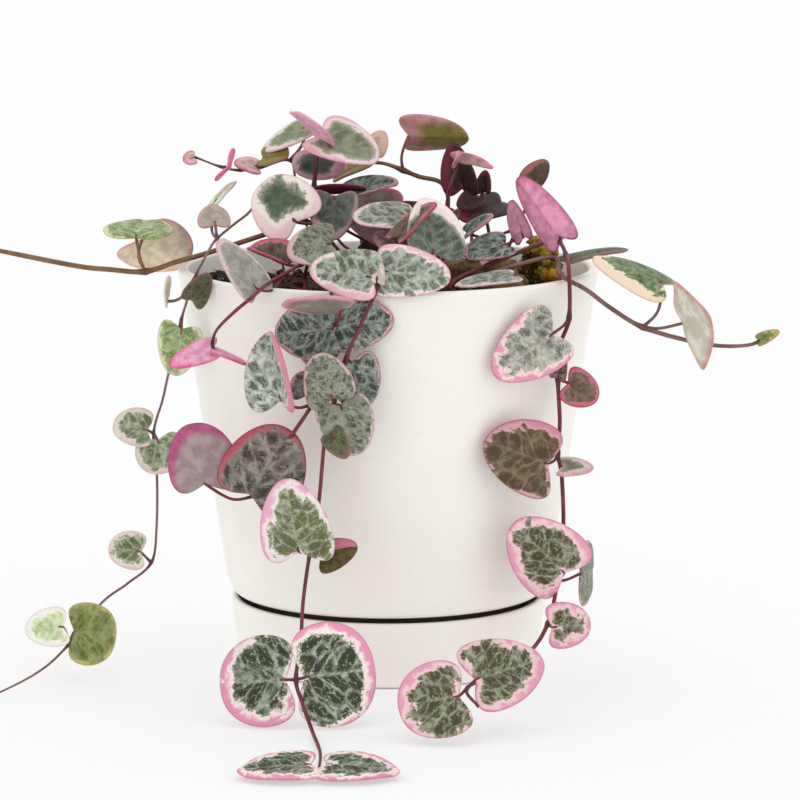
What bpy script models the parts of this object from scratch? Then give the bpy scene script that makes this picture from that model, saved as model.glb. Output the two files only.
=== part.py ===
"""Potted string of hearts: a trailing plant in a tapered pot on its matching saucer.

The origin is on the ground under the middle of the saucer, +Z is up and -Y is the front.
Places and sizes below are in millimetres and become metres where meshes are made.
Each leafy stem is one solid: the stem, its petioles and its heart-shaped leaves.
"""
import math
from typing import NamedTuple

import bpy
import bmesh
from mathutils import Vector, noise

MM = 0.001
GAP = 0.3  # clearance between pieces that touch

# Pot and saucer
ROUND_STEPS = 36
RIM_RADIUS = 51.0
RIM_HEIGHT = 97.0
SHOULDER_RADIUS = 39.4  # where the tapered wall meets the rounded lower corner
SHOULDER_HEIGHT = 20.7
WALL = 2.4
FOOT_RADIUS = 33.0
SAUCER_FLOOR = 3.0
SAUCER_HEIGHT = 16.2
SAUCER_RADIUS = 38.5
SAUCER_FOOT_RADIUS = 36.6
SAUCER_WALL = 2.2
DRAIN_RADIUS = 5.0

# Soil
SOIL_LEVEL = 89.0
SOIL_RINGS = 3
SOIL_ROUGHNESS = 1.1
HEAP_CENTRE = (-40.0, 14.0)  # soil lies higher against the left of the pot
HEAP_HEIGHT = 4.0
HEAP_SPREAD = 14.0
ROOT_BOTTOM = 84.0
ROOT_TOP = 93.0
ROOT_ABOVE = 96.0
HOLE_CLEARANCE = 0.6
DENT_CLEARANCE = 0.5

# Leaves and stems
LEAF_THICKNESS = 1.0
LOBE = 0.25
APEX = 0.12
LEAF_CENTRE = (0.0, 0.38)
SMALL_LEAF = 8.5  # narrower leaves have fewer points
OUTLINE_ANGLES = (0, 30, 62, 95, 128, 156, 180)
SMALL_OUTLINE_ANGLES = (0, 40, 80, 120, 155, 180)
STEM_STEP = 10.0
NODE_SWELL = 1.45
PETIOLE_RADIUS = 0.42
PETIOLE_SINK = 1.4
LONG_PETIOLE = 5.0  # longer ones bow a little


class Leaf(NamedTuple):
    """A heart-shaped leaf: its notch, its tip and the way that its upper face looks."""

    node: int
    notch: tuple
    tip: tuple
    face: tuple
    width: float
    fold: float


class String(NamedTuple):
    """A leafy stem: where it leaves the soil, its route, and its leaves."""

    root: tuple
    radius: float
    route: list
    leaves: list


STRINGS = {}

STRINGS["string_front"] = String(
    root=(1, -20), radius=0.6,
    route=[
        (1, -27, 101), (-1, -38, 104), (-2, -52, 99.5), (-6, -57, 91), (-9.5, -58, 83),
        (-12.5, -58, 72), (-14.5, -58, 64.5), (-16, -59, 49), (-18, -60, 38), (-19.5, -65, 27.5),
        (-20, -70, 19), (-21, -75, 11), (-19.5, -79, 6.5), (-17, -86, 1.2), (-15, -104, 0.8),
        (-15, -122, 0.8),
    ],
    leaves=[
        Leaf(2, (-4, -54.5, 101.2), (-19.5, -55, 103.8), (-0.1, -1, 0.25), 14, 8),
        Leaf(2, (-1, -51, 102), (15.5, -51, 101), (0.1, -1, 0.3), 13.5, 8),
        Leaf(2, (-2.5, -54, 100.5), (-2.5, -53, 105), (-1, -0.5, 0), 3.5, 0),
        Leaf(5, (-12.5, -61, 73.5), (-16.5, -63.5, 85), (0, -1, 0.1), 12.5, 6),
        Leaf(4, (-8.5, -56, 81.5), (-5.5, -55, 70.5), (0.5, -1, 0), 13, 6),
        Leaf(5, (-11, -59, 72), (-7, -60, 61), (0.1, -1, 0.15), 13, 8),
        Leaf(6, (-13, -61, 65.5), (-9.5, -64, 61), (0, -1, 0.2), 5.5, 10),
        Leaf(8, (-20.5, -63, 38.5), (-23.5, -65, 54.8), (-0.1, -1, 0.15), 16.5, 6),
        Leaf(8, (-14.5, -60, 36), (-7, -61, 38), (0, -0.7, 0.7), 8, 55),
        Leaf(11, (-23.5, -75, 11), (-38.5, -74, 10), (-0.05, -1, 0.35), 22, 5),
        Leaf(11, (-19, -75, 11.5), (-3, -74, 13.5), (0.05, -1, 0.35), 25.5, 5),
        Leaf(15, (-17, -123, 2.6), (-32, -126, 3), (0, -0.15, 1), 16, 4),
        Leaf(15, (-13, -123, 2.6), (2, -126, 3), (0, -0.15, 1), 16, 4),
    ],
)
STRINGS["string_front_left"] = String(
    root=(-13, -20), radius=0.6,
    route=[
        (-14, -26, 101), (-15, -36, 103), (-14, -46, 102), (-13, -51.3, 96.8), (-13, -56, 90),
        (-14, -57, 84.5), (-15.5, -57, 78), (-17.5, -57, 72), (-21.5, -55, 65.5), (-26.5, -53.5, 57.5),
        (-30.5, -54, 50),
    ],
    leaves=[
        Leaf(0, (-14.5, -27.5, 106), (-22.5, -29, 104.8), (-0.2, -0.8, 0.5), 13, 8),
        Leaf(4, (-11, -60.2, 91.6), (-24.5, -63.2, 95.3), (-0.1, 0.45, 0.9), 15, 5),
        Leaf(4, (-13, -57, 89.5), (-26, -52.5, 87.7), (-0.35, -1, 0.1), 14.5, 8),
        Leaf(4, (-11.5, -54.5, 90), (1, -52.5, 91), (0.15, -1, 0.15), 12.5, 6),
        Leaf(5, (-15, -56, 85.5), (-19.5, -55, 81.5), (-0.2, -1, 0), 8, 6),
        Leaf(7, (-24.5, -60, 73.5), (-27.5, -61, 88.5), (-0.6, -0.8, 0.1), 17, 50),
        Leaf(7, (-19, -54, 73.5), (-19.5, -53, 79), (0, -1, 0), 7, 6),
        Leaf(10, (-31.8, -56, 50.8), (-23.5, -55.5, 65.8), (-0.15, -1, 0.2), 20.5, 7),
        Leaf(10, (-42.5, -52, 52.5), (-45, -51, 66.5), (0.1, 1, 0.1), 17, 6),
    ],
)
STRINGS["string_left_drop"] = String(
    root=(-26, 12), radius=0.4,
    route=[
        (-31, 8, 110.5), (-34.5, 2, 109), (-41, -12, 105), (-43, -22, 102.5), (-44, -28, 101),
        (-45.5, -30, 98), (-49, -26, 87.5), (-52.5, -20, 73.5), (-54, -18, 67), (-56.5, -14, 58),
        (-56, -10, 47), (-56.5, -5, 33), (-58, -2, 24), (-63.5, -8, 20), (-69.5, -15, 16.5),
        (-76.5, -31, 9.5), (-83.5, -42, 5), (-97, -57, 0.8),
    ],
    leaves=[
        Leaf(2, (-41.5, -10, 108), (-42.5, -4, 112.5), (0, -0.8, 0.6), 8.5, 5),
        Leaf(2, (-42, 0, 112), (-37.5, 3, 117.5), (-0.8, -0.3, 0.4), 6, 10),
        Leaf(5, (-46.5, -31, 92), (-42, -32, 98.5), (0.4, -1, 0), 8, 10),
        Leaf(5, (-52.5, -24, 91.5), (-52.5, -22, 97), (-1, 0, 0.1), 11, 8),
        Leaf(6, (-49, -26, 85), (-51, -25, 74), (-0.1, -1, 0.1), 10.5, 6),
        Leaf(9, (-58, -15, 59), (-66, -15, 60.5), (-0.2, -0.9, 0.5), 10, 10),
        Leaf(9, (-55.5, -15, 56.5), (-53.5, -17, 49), (0.2, -1, 0.2), 13, 6),
        Leaf(12, (-60.5, -4, 27), (-68, -5, 28.5), (-0.2, -0.9, 0.5), 10, 10),
        Leaf(15, (-75, -29, 12.5), (-65, -25, 11), (0.2, -1, 0.2), 15.5, 6),
        Leaf(15, (-77.5, -33, 14.5), (-86, -34, 14), (-0.1, -1, 0.2), 9.5, 10),
    ],
)
STRINGS["string_left_branch"] = String(
    root=(-9, 4), radius=0.8,
    route=[
        (-20, -4, 108.5), (-29, -6, 105.5), (-43.5, -8, 101), (-50.5, -8, 99), (-58.5, -8, 96.5),
        (-67, -8, 97), (-75, -9, 98), (-93, -12, 102), (-103, -13, 104),
    ],
    leaves=[
        Leaf(4, (-60.5, -10, 105), (-59, 5, 108.5), (0, -0.3, 1), 16.5, 4),
        Leaf(4, (-60, 6, 102.5), (-50.5, 15.5, 96), (0.1, 1, 0.4), 18, 8),
    ],
)
STRINGS["string_left_pink"] = String(
    root=(-20, -12), radius=0.55,
    route=[
        (-19.5, -26, 101), (-24.5, -37, 99.5), (-28, -46, 98.5), (-31.5, -51, 96), (-35.5, -54, 93),
        (-39.5, -55, 89), (-40.5, -55, 86),
    ],
    leaves=[
        Leaf(6, (-40.5, -55, 86), (-41.5, -46.5, 83), (0, 0.35, 0.93), 18, -15),
        Leaf(1, (-28, -49, 100), (-39, -44, 108.5), (0.65, 0.4, 0.6), 11, 5),
        Leaf(0, (-24, -22, 100), (-33, -18, 104), (0, -0.35, 0.95), 12, 40),
    ],
)
STRINGS["string_right_drop"] = String(
    root=(43, 0), radius=0.6,
    route=[
        (40, -4, 104), (41, -15, 104.5), (42, -27, 103), (42.5, -34, 99.5), (42.5, -35.5, 89),
        (40.5, -35, 82.5), (40, -35, 74.5), (40.5, -35, 64), (40, -35, 57), (41, -35, 51.5),
        (41.5, -35, 40), (41, -36, 31.5), (40, -38, 26.5), (39, -42, 22), (37.5, -48, 18.5),
        (34, -58, 15), (27, -75, 13), (18, -88, 12), (20.5, -92, 8.5),
    ],
    leaves=[
        Leaf(4, (38.5, -40, 86), (25.5, -46, 77.5), (0.35, -1, 0.1), 15.5, 6),
        Leaf(6, (40, -37, 75.5), (41, -38, 81), (-0.3, -1, 0), 4.5, 30),
        Leaf(6, (42.5, -35, 73.5), (49.5, -33, 69.5), (0.2, -1, 0.1), 9, 10),
        Leaf(8, (37.5, -39, 55), (23.5, -43.5, 61), (0.3, -1, 0.1), 18, 8),
        Leaf(8, (41, -36, 53.5), (47.5, -37, 54), (0, -0.5, 0.87), 7, 10),
        Leaf(12, (41.5, -40, 29), (30, -42, 40.5), (-0.1, -1, 0.1), 18, 6),
        Leaf(12, (45.5, -36, 28), (50, -24, 26.5), (1, -0.4, 0), 17, 5),
        Leaf(14, (38.5, -50, 18), (47.5, -48, 18.5), (0.1, -1, 0.2), 11, 6),
        Leaf(17, (20, -86, 13.5), (35, -79, 17), (0, -1, 0.5), 17, 5),
        Leaf(17, (16, -90, 10.5), (2.5, -91, 8.5), (0, -1, 0.7), 19.5, 5),
        Leaf(1, (41.5, -15.5, 104.5), (31.5, -11.5, 119.5), (0.6, 0.6, 0.5), 12, 12),
        Leaf(2, (43, -24, 101), (56.5, -20, 104.5), (-0.3, -0.1, 0.95), 10, 10),
    ],
)
STRINGS["string_right_branch"] = String(
    root=(34, -14), radius=0.7,
    route=[
        (38.5, -20, 101.5), (40.5, -30, 98.6), (46.5, -33, 95.5), (52.5, -33, 91), (60, -33, 86.5),
        (71, -31, 83), (78.5, -29, 81.5), (85, -28, 81.5), (88, -28, 82.5),
    ],
    leaves=[
        Leaf(4, (63.5, -33.5, 96.2), (49, -30, 102), (0.31, -0.4, 0.85), 13.5, -10),
        Leaf(4, (69.5, -33, 87.5), (76, -46, 91), (0.82, 0.5, 0.3), 23, 6),
        Leaf(8, (88.5, -28, 83), (91.5, -28, 84), (0, -1, 0.3), 2.5, 20),
    ],
)
STRINGS["string_arch"] = String(
    root=(12, 15), radius=0.7,
    route=[
        (14.5, 9, 110.5), (13, 9, 116), (7.5, 10, 117.5), (3.5, 11, 119), (-0.5, 11, 120.5),
        (-4, 11, 121),
    ],
    leaves=[
        Leaf(3, (4, 11, 126.5), (19, 8, 126.5), (0, 0.55, 0.83), 17, 15),
        Leaf(5, (-4.5, 11.5, 121), (-13.5, 12, 117.2), (0.2, -0.2, 0.95), 10, 10),
        Leaf(5, (-3.5, 15, 123), (-1.5, 16, 128), (-0.2, -0.8, 0.3), 6, 10),
    ],
)
STRINGS["string_sprout"] = String(
    root=(13, -3), radius=0.5,
    route=[
        (14, -3, 111.5), (15, -4.5, 117), (16.5, -4.5, 121.7),
    ],
    leaves=[
        Leaf(2, (16.5, -4.5, 122.7), (25, -7.5, 122.2), (0, 0.3, 0.95), 6, 50),
        Leaf(2, (16.5, -4.5, 122.7), (16.5, -10.5, 125.2), (-0.9, 0, 0.3), 4, 20),
    ],
)
STRINGS["string_crown_right"] = String(
    root=(26, 6), radius=0.55,
    route=[
        (23.5, 5, 109), (22.5, 5, 112.5), (23, 5, 114.5),
    ],
    leaves=[
        Leaf(2, (18, 3, 115.5), (15.5, 2, 125.8), (-0.3, -0.9, 0.2), 10, 30),
        Leaf(2, (23, 4, 115), (23.5, 3, 119.5), (-0.3, -1, 0), 4, 20),
        Leaf(1, (21.5, 2, 113.5), (17, 0, 111.5), (0, -0.9, 0.4), 5.5, 10),
        Leaf(0, (27.5, 5.5, 111.5), (18, -1, 109), (-0.3, -0.6, 0.7), 12, 10),
    ],
)
STRINGS["string_crown_far_right"] = String(
    root=(28, 14), radius=0.5,
    route=[
        (31, -1, 106), (33.5, -1, 112), (34.5, 1, 115.5),
    ],
    leaves=[
        Leaf(2, (34.5, 3, 117), (38, 5, 122), (-0.3, -0.9, 0.3), 6.5, 15),
        Leaf(0, (32.5, -7.5, 105), (29, -4.5, 113), (-0.8, -0.5, 0.2), 8, 10),
        Leaf(0, (19, -7.5, 106), (24.5, -9.5, 110.5), (-0.5, -0.3, 0.8), 8, 10),
        Leaf(0, (31, -10, 104.5), (19, -14, 102), (0, -0.45, 0.9), 14, 8),
    ],
)
STRINGS["string_centre"] = String(
    root=(-15, 8), radius=0.7,
    route=[
        (-17, 2, 111.5), (-18, 3, 115.5), (-17.5, 2, 121), (-17, 2, 125.5),
    ],
    leaves=[
        Leaf(3, (-15.5, 1, 127), (-22.5, -1, 135), (0.68, 0.25, 0.68), 17, 8),
        Leaf(3, (-15.5, 1, 127), (-1.5, -4, 126), (0.2, -0.75, 0.65), 15.5, 8),
        Leaf(3, (-17, 3.5, 124), (-17, 5.5, 117), (0, -1, 0.2), 13.5, 6),
        Leaf(1, (-16, 1, 115), (-6, -2, 117), (0, 0.2, 1), 10, 10),
        Leaf(1, (-10.5, 3, 114.5), (1.5, 0, 118), (0, -0.3, 0.95), 12, 10),
        Leaf(0, (-22, -12, 109), (-30.5, -8, 118), (-0.2, -0.9, 0.4), 16.5, 6),
        Leaf(0, (-13, -7, 114.5), (-13.5, -15, 106), (0, -0.9, 0.45), 12, 6),
    ],
)
STRINGS["string_middle"] = String(
    root=(6, -9), radius=0.55,
    route=[
        (4, -12, 105.5), (5, -8, 109),
    ],
    leaves=[
        Leaf(1, (5.5, -8, 109.5), (-7.5, -15, 111), (0, -0.45, 0.9), 14, 8),
        Leaf(0, (-3.5, -15, 108.5), (3.5, -22, 104.5), (-0.3, -0.8, 0.5), 13, 30),
        Leaf(0, (10.5, -24, 103), (10.5, -15, 114.5), (0.35, -0.8, 0.3), 17, 35),
        Leaf(-1, (30.5, -32, 99), (16, -35, 98), (0, -0.1, 1), 14, 4),
    ],
)
STRINGS["string_top_left"] = String(
    root=(-18, 15), radius=0.4,
    route=[
        (-22.5, 13, 115), (-24, 10, 121.5), (-31, 8, 120), (-36, 6, 119.5), (-40.5, 4, 120.5),
        (-46.5, 2, 123),
    ],
    leaves=[
        Leaf(5, (-47, 2, 123), (-49.5, 1, 122.5), (-0.2, -1, 0.2), 3.5, 15),
        Leaf(4, (-38.5, 4, 120.5), (-39.5, -5, 121.5), (-0.85, 0.1, 0.5), 9.5, 20),
        Leaf(3, (-32, 8, 120), (-37, 6, 121.5), (0, -0.6, 0.8), 6, 10),
        Leaf(2, (-30.5, 10, 122), (-24.5, 8, 123.5), (0, -0.5, 0.85), 10, 15),
        Leaf(1, (-27, 12, 125), (-20.5, 11, 129.5), (-0.3, -0.2, 0.9), 14, 6),
    ],
)
STRINGS["string_back_left"] = String(
    root=(-6, 26), radius=0.6,
    route=[
        (-8, 33, 103), (-12, 44, 104), (-15, 53, 98), (-16, 55, 86), (-16, 54, 72), (-17, 54, 60),
        (-17, 54, 50),
    ],
    leaves=[
        Leaf(0, (-10, 30, 105), (-20, 26, 112), (-0.3, -0.2, 1), 15, 8),
        Leaf(1, (-9, 45, 105), (3, 47, 109), (0.1, 0.6, 0.8), 15, 6),
        Leaf(3, (-18, 56, 86), (-31, 57, 89), (-0.1, 1, 0.2), 15, 8),
        Leaf(3, (-14, 57, 85), (-2, 58, 89), (0.1, 1, 0.2), 14, 6),
        Leaf(5, (-15, 56, 60), (-4, 58, 67), (0.1, 1, 0.2), 14, 6),
        Leaf(6, (-17, 55, 48), (-20, 57, 36), (0, 1, 0.2), 12, 8),
    ],
)
STRINGS["string_back_right"] = String(
    root=(14, 28), radius=0.6,
    route=[
        (17, 36, 104), (20, 45, 103), (21, 51.5, 97), (21, 53, 86), (20, 52, 74), (21, 51, 62),
    ],
    leaves=[
        Leaf(0, (19, 34, 105), (29, 28, 110), (0.3, 0, 1), 15, 8),
        Leaf(0, (13, 37, 105), (2, 33, 109), (-0.2, 0.2, 1), 14, 8),
        Leaf(3, (23, 54, 87), (35, 54, 92), (0.2, 1, 0.2), 14, 6),
        Leaf(5, (19, 52, 61), (9, 54, 53), (0, 1, 0.2), 14, 6),
        Leaf(5, (23, 52, 60), (31, 53, 50), (0.2, 1, 0.2), 12, 8),
    ],
)


def millimetres(point):
    """A point given in millimetres, in metres."""
    return Vector(point) * MM


def clear_scene():
    """Start from an empty scene."""
    for item in list(bpy.data.objects):
        bpy.data.objects.remove(item, do_unlink=True)


def make_material(name, colour, roughness):
    """A plain finish."""
    material = bpy.data.materials.new(name)
    material.use_nodes = True
    shader = material.node_tree.nodes["Principled BSDF"]
    shader.inputs["Base Color"].default_value = (*colour, 1.0)
    shader.inputs["Roughness"].default_value = roughness
    shader.inputs["Metallic"].default_value = 0.0
    return material


def add_object(name, mesh, material=None):
    """An object in the scene for a mesh."""
    item = bpy.data.objects.new(name, mesh)
    bpy.context.scene.collection.objects.link(item)
    if material is not None:
        mesh.materials.clear()
        mesh.materials.append(material)
    return item


def mesh_from(name, shape):
    """A mesh from a bmesh, with its faces pointing out."""
    bmesh.ops.recalc_face_normals(shape, faces=shape.faces)
    mesh = bpy.data.meshes.new(name)
    shape.to_mesh(mesh)
    shape.free()
    return mesh


def applied(item):
    """The object with its modifiers and curve settings made into plain mesh."""
    depsgraph = bpy.context.evaluated_depsgraph_get()
    mesh = bpy.data.meshes.new_from_object(item.evaluated_get(depsgraph))
    mesh.name = item.name
    return mesh


def remove(items):
    """Take objects out of the file."""
    for item in items:
        bpy.data.objects.remove(item, do_unlink=True)


def turned(name, profile):
    """A closed turned mesh from (radius, height) points, which close on themselves."""
    shape = bmesh.new()
    points = [shape.verts.new(millimetres((radius, 0, height))) for radius, height in profile]
    edges = [
        shape.edges.new((points[index], points[(index + 1) % len(points)]))
        for index in range(len(points))
        if profile[index][0] > 0 or profile[(index + 1) % len(points)][0] > 0
    ]
    bmesh.ops.spin(
        shape, geom=points + edges, cent=(0, 0, 0), axis=(0, 0, 1),
        angle=math.tau, steps=ROUND_STEPS, use_merge=True,
    )
    bmesh.ops.remove_doubles(shape, verts=shape.verts, dist=1e-6)
    return mesh_from(name, shape)


def shade_round(mesh, sharp_degrees=40):
    """Smooth shading with the real corners kept."""
    mesh.shade_smooth()
    mesh.set_sharp_from_angle(angle=math.radians(sharp_degrees))


def wall_radius(height, inset=0.0):
    """The tapered wall's radius at a height."""
    share = (height - SHOULDER_HEIGHT) / (RIM_HEIGHT - SHOULDER_HEIGHT)
    return SHOULDER_RADIUS + (RIM_RADIUS - SHOULDER_RADIUS) * share - inset


def pot_profile():
    """The pot's wall, from the drain hole out, up to the rim and back down inside."""
    base = SAUCER_FLOOR + GAP
    floor = base + 3.0
    return [
        (DRAIN_RADIUS, base),
        (FOOT_RADIUS, base),
        (FOOT_RADIUS + 1.2, 16.9),
        (37.0, 17.3),
        (SHOULDER_RADIUS, SHOULDER_HEIGHT),
        (wall_radius(RIM_HEIGHT - 1.6), RIM_HEIGHT - 1.6),
        (RIM_RADIUS - 1.1, RIM_HEIGHT),
        (RIM_RADIUS - 2.0, RIM_HEIGHT - 0.5),
        (wall_radius(RIM_HEIGHT - 3.0, WALL), RIM_HEIGHT - 3.0),
        (wall_radius(SHOULDER_HEIGHT + 1.0, WALL), SHOULDER_HEIGHT + 1.0),
        (FOOT_RADIUS - 1.4, 16.0),
        (FOOT_RADIUS - 2.6, floor),
        (DRAIN_RADIUS, floor),
    ]


def saucer_profile():
    """The saucer, from the middle of its flat underside out, up and back inside."""
    return [
        (0, 0),
        (SAUCER_FOOT_RADIUS - 1.8, 0),
        (SAUCER_FOOT_RADIUS - 0.5, 0.6),
        (SAUCER_FOOT_RADIUS, 2.0),
        (SAUCER_RADIUS, SAUCER_HEIGHT - 0.9),
        (SAUCER_RADIUS - 1.0, SAUCER_HEIGHT),
        (SAUCER_RADIUS - 1.8, SAUCER_HEIGHT - 0.6),
        (SAUCER_FOOT_RADIUS - SAUCER_WALL + 0.4, SAUCER_FLOOR + 1.2),
        (SAUCER_FOOT_RADIUS - SAUCER_WALL - 0.8, SAUCER_FLOOR),
        (0, SAUCER_FLOOR),
    ]


def soil_height(x, y):
    """The uneven top of the soil, heaped at the left."""
    far = ((x - HEAP_CENTRE[0]) ** 2 + (y - HEAP_CENTRE[1]) ** 2) / (2 * HEAP_SPREAD**2)
    lump = noise.noise(Vector((x * 0.13, y * 0.13, 4.0)))
    return SOIL_LEVEL + HEAP_HEIGHT * math.exp(-far) + SOIL_ROUGHNESS * lump


def make_soil(cutters):
    """The soil that fills the pot, with plain holes for stems and dents for lumps."""
    floor = SAUCER_FLOOR + GAP + 3.0 + GAP
    side = [
        (FOOT_RADIUS - 3.1, floor),
        (FOOT_RADIUS - 1.9, 16.2),
        (wall_radius(SHOULDER_HEIGHT + 1.2, WALL + 0.4), SHOULDER_HEIGHT + 1.2),
    ]
    shape = bmesh.new()
    rings = []
    edge_radius = wall_radius(SOIL_LEVEL, WALL + 0.4)
    for radius, height in side:
        rings.append([(radius, height)] * ROUND_STEPS)
    for ring in range(SOIL_RINGS, 0, -1):
        rings.append([(edge_radius * ring / SOIL_RINGS, None)] * ROUND_STEPS)
    loops = []
    for ring in rings:
        loop = []
        for step, (radius, height) in enumerate(ring):
            angle = math.tau * step / ROUND_STEPS
            x = radius * math.cos(angle)
            y = radius * math.sin(angle)
            top = soil_height(x, y) if height is None else height
            loop.append(shape.verts.new(millimetres((x, y, top))))
        loops.append(loop)
    for lower, upper in zip(loops, loops[1:]):
        for step in range(ROUND_STEPS):
            after = (step + 1) % ROUND_STEPS
            shape.faces.new((lower[step], lower[after], upper[after], upper[step]))
    bottom = shape.verts.new(millimetres((0, 0, floor)))
    middle = shape.verts.new(millimetres((0, 0, soil_height(0, 0))))
    for step in range(ROUND_STEPS):
        after = (step + 1) % ROUND_STEPS
        shape.faces.new((bottom, loops[0][after], loops[0][step]))
        shape.faces.new((middle, loops[-1][step], loops[-1][after]))
    material = make_material("potting soil", (0.05, 0.03, 0.018), 0.95)
    soil = add_object("soil", mesh_from("soil", shape), material)
    combine(soil, cutters, "DIFFERENCE")
    return soil


def make_lump(name, centre, radii, bumps, material, detail):
    """A tuber or a clump of moss that sits in the soil."""
    shape = bmesh.new()
    bmesh.ops.create_icosphere(shape, subdivisions=detail, radius=1.0)
    for point in shape.verts:
        swell = 1.0 + bumps * noise.noise(point.co * 2.3 + Vector(centre))
        place = Vector([point.co[axis] * radii[axis] * swell for axis in range(3)])
        point.co = millimetres(place + Vector(centre))
    mesh = mesh_from(name, shape)
    shade_round(mesh, 60)
    return add_object(name, mesh, material)


def lump_cutter(lump, centre):
    """The dent that a lump sits in, wider than the lump all round."""
    mesh = lump.data.copy()
    for point in mesh.vertices:
        away = point.co - millimetres(centre)
        point.co = point.co + away.normalized() * DENT_CLEARANCE * MM
    return add_object("dent", mesh)


def stem_hole(string):
    """The plain round hole that a stem stands in."""
    radius = (string.radius + HOLE_CLEARANCE) * MM
    shape = bmesh.new()
    bmesh.ops.create_cone(
        shape, cap_ends=True, segments=6, radius1=radius, radius2=radius, depth=20 * MM,
    )
    x, y = string.root
    for point in shape.verts:
        point.co = point.co + millimetres((x, y, ROOT_BOTTOM - 2 * GAP + 10))
    return add_object("hole", mesh_from("hole", shape))


def smooth_route(points, step):
    """Points along a smooth curve through the given ones, with the node that each is at."""
    route = [Vector(point) for point in points]
    ends = [route[0] * 2 - route[1]] + route + [route[-1] * 2 - route[-2]]
    samples = []
    for index in range(len(route) - 1):
        before, start, end, after = ends[index:index + 4]
        count = max(1, round((end - start).length / step))
        for part in range(count):
            t = part / count
            pull = (end - before) * t + (before * 2 - start * 5 + end * 4 - after) * t**2
            turn = (start * 3 - before - end * 3 + after) * t**3
            samples.append((start + (pull + turn) / 2, index if part == 0 else None))
    samples.append((route[-1], len(route) - 1))
    return samples


def make_tube(name, samples, radii, sides_level):
    """A closed tube along a route."""
    curve = bpy.data.curves.new(name, "CURVE")
    curve.dimensions = "3D"
    curve.bevel_depth = MM
    curve.bevel_resolution = sides_level
    curve.use_fill_caps = True
    spline = curve.splines.new("POLY")
    spline.points.add(len(samples) - 1)
    for point, place, radius in zip(spline.points, samples, radii):
        point.co = (*millimetres(place), 1.0)
        point.radius = radius
    guide = add_object(name, curve)
    mesh = applied(guide)
    remove([guide])
    shape = bmesh.new()
    shape.from_mesh(mesh)
    bmesh.ops.remove_doubles(shape, verts=shape.verts, dist=1e-7)
    bmesh.ops.triangulate(shape, faces=shape.faces)
    return add_object(name, mesh_from(name, shape))


def heart_half(angle, lobe=LOBE, apex=APEX):
    """The right edge of a heart, from the notch (0 degrees) to the tip (180 degrees)."""
    turn = math.radians(angle)
    half = (1 - math.cos(turn)) / 2
    across = math.sin(turn) * (1 + 0.16 * math.cos(turn))
    along = half - lobe * math.sin(turn) * (1 + math.cos(turn)) + apex * half**8
    return across, along / (1 + apex)


class Blade:
    """Turns places on a flat heart into places on a leaf."""

    def __init__(self, leaf):
        self.notch = Vector(leaf.notch)
        axis = Vector(leaf.tip) - self.notch
        self.length = axis.length
        self.along = axis.normalized()
        face = Vector(leaf.face)
        self.up = (face - self.along * face.dot(self.along)).normalized()
        self.side = self.up.cross(self.along)
        self.half = leaf.width / 2
        self.fold = math.radians(leaf.fold)

    def point(self, across, along, rise):
        """A place on the leaf: across is -1 to 1, along is 0 at the notch and 1 at the tip."""
        lean = self.fold if across else 0.0
        out = math.copysign(1.0, across) if across else 0.0
        mitre = 1.0 if across else 1.0 / max(math.cos(self.fold), 0.6)
        surface = (
            self.notch
            + self.along * along * self.length
            + self.side * across * self.half * math.cos(lean)
            + self.up * abs(across) * self.half * math.sin(lean)
            + self.up * self.bend(across, along)
        )
        outward = self.up * math.cos(lean) - self.side * out * math.sin(lean)
        return surface + outward * rise * mitre

    def bend(self, across, along):
        """The leaf's gentle bow: its tip and margins turn down."""
        return -0.09 * self.length * max(along, 0.0) ** 2 - 0.05 * self.half * across**2


def make_leaf(leaf):
    """A heart-shaped leaf as a closed solid, its two faces split into triangles alike."""
    blade = Blade(leaf)
    small = leaf.width < SMALL_LEAF
    angles = SMALL_OUTLINE_ANGLES if small else OUTLINE_ANGLES
    right = [heart_half(angle) for angle in angles]
    left = [(-across, along) for across, along in reversed(right[1:-1])]
    outline = right + left
    outline[0] = (0.0, 0.0)
    outline[len(right) - 1] = (0.0, 1.0)
    shape = bmesh.new()
    edges = []
    for way in (1, -1):
        rise = way * LEAF_THICKNESS / 2
        edge = [shape.verts.new(millimetres(blade.point(*place, rise))) for place in outline]
        centre = shape.verts.new(millimetres(blade.point(*LEAF_CENTRE, rise)))
        for step, corner in enumerate(edge):
            shape.faces.new((corner, edge[(step + 1) % len(edge)], centre))
        edges.append(edge)
    top, under = edges
    for step in range(len(top)):
        after = (step + 1) % len(top)
        shape.faces.new((top[step], under[step], under[after]))
        shape.faces.new((top[step], under[after], top[after]))
    return add_object("leaf", mesh_from("leaf", shape))


def make_petiole(start, leaf):
    """The short stalk from a stem to a leaf's notch, which runs a little into the leaf."""
    blade = Blade(leaf)
    notch = blade.point(0.0, 0.0, 0.0)
    inside = blade.point(0.0, PETIOLE_SINK / blade.length, 0.0)
    reach = (notch - start).length
    middle = (start + notch) / 2 - blade.along * reach * 0.12 - Vector((0, 0, reach * 0.06))
    places = [start, middle, notch, inside]
    radii = [PETIOLE_RADIUS * 1.2, PETIOLE_RADIUS, PETIOLE_RADIUS, PETIOLE_RADIUS * 0.8]
    if reach < LONG_PETIOLE:
        places.pop(1)
        radii.pop(1)
    return make_tube("petiole", places, radii, 0)


def combine(base, parts, operation):
    """Join parts to a base, or cut them from it, in one step, and remove them."""
    group = bpy.data.collections.new("parts")
    bpy.context.scene.collection.children.link(group)
    for part in parts:
        group.objects.link(part)
    boolean = base.modifiers.new("combine", "BOOLEAN")
    boolean.operation = operation
    boolean.solver = "MANIFOLD"
    boolean.operand_type = "COLLECTION"
    boolean.collection = group
    mesh = applied(base)
    base.modifiers.clear()
    base.data = mesh
    remove(list(group.objects))
    bpy.data.collections.remove(group)


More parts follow.
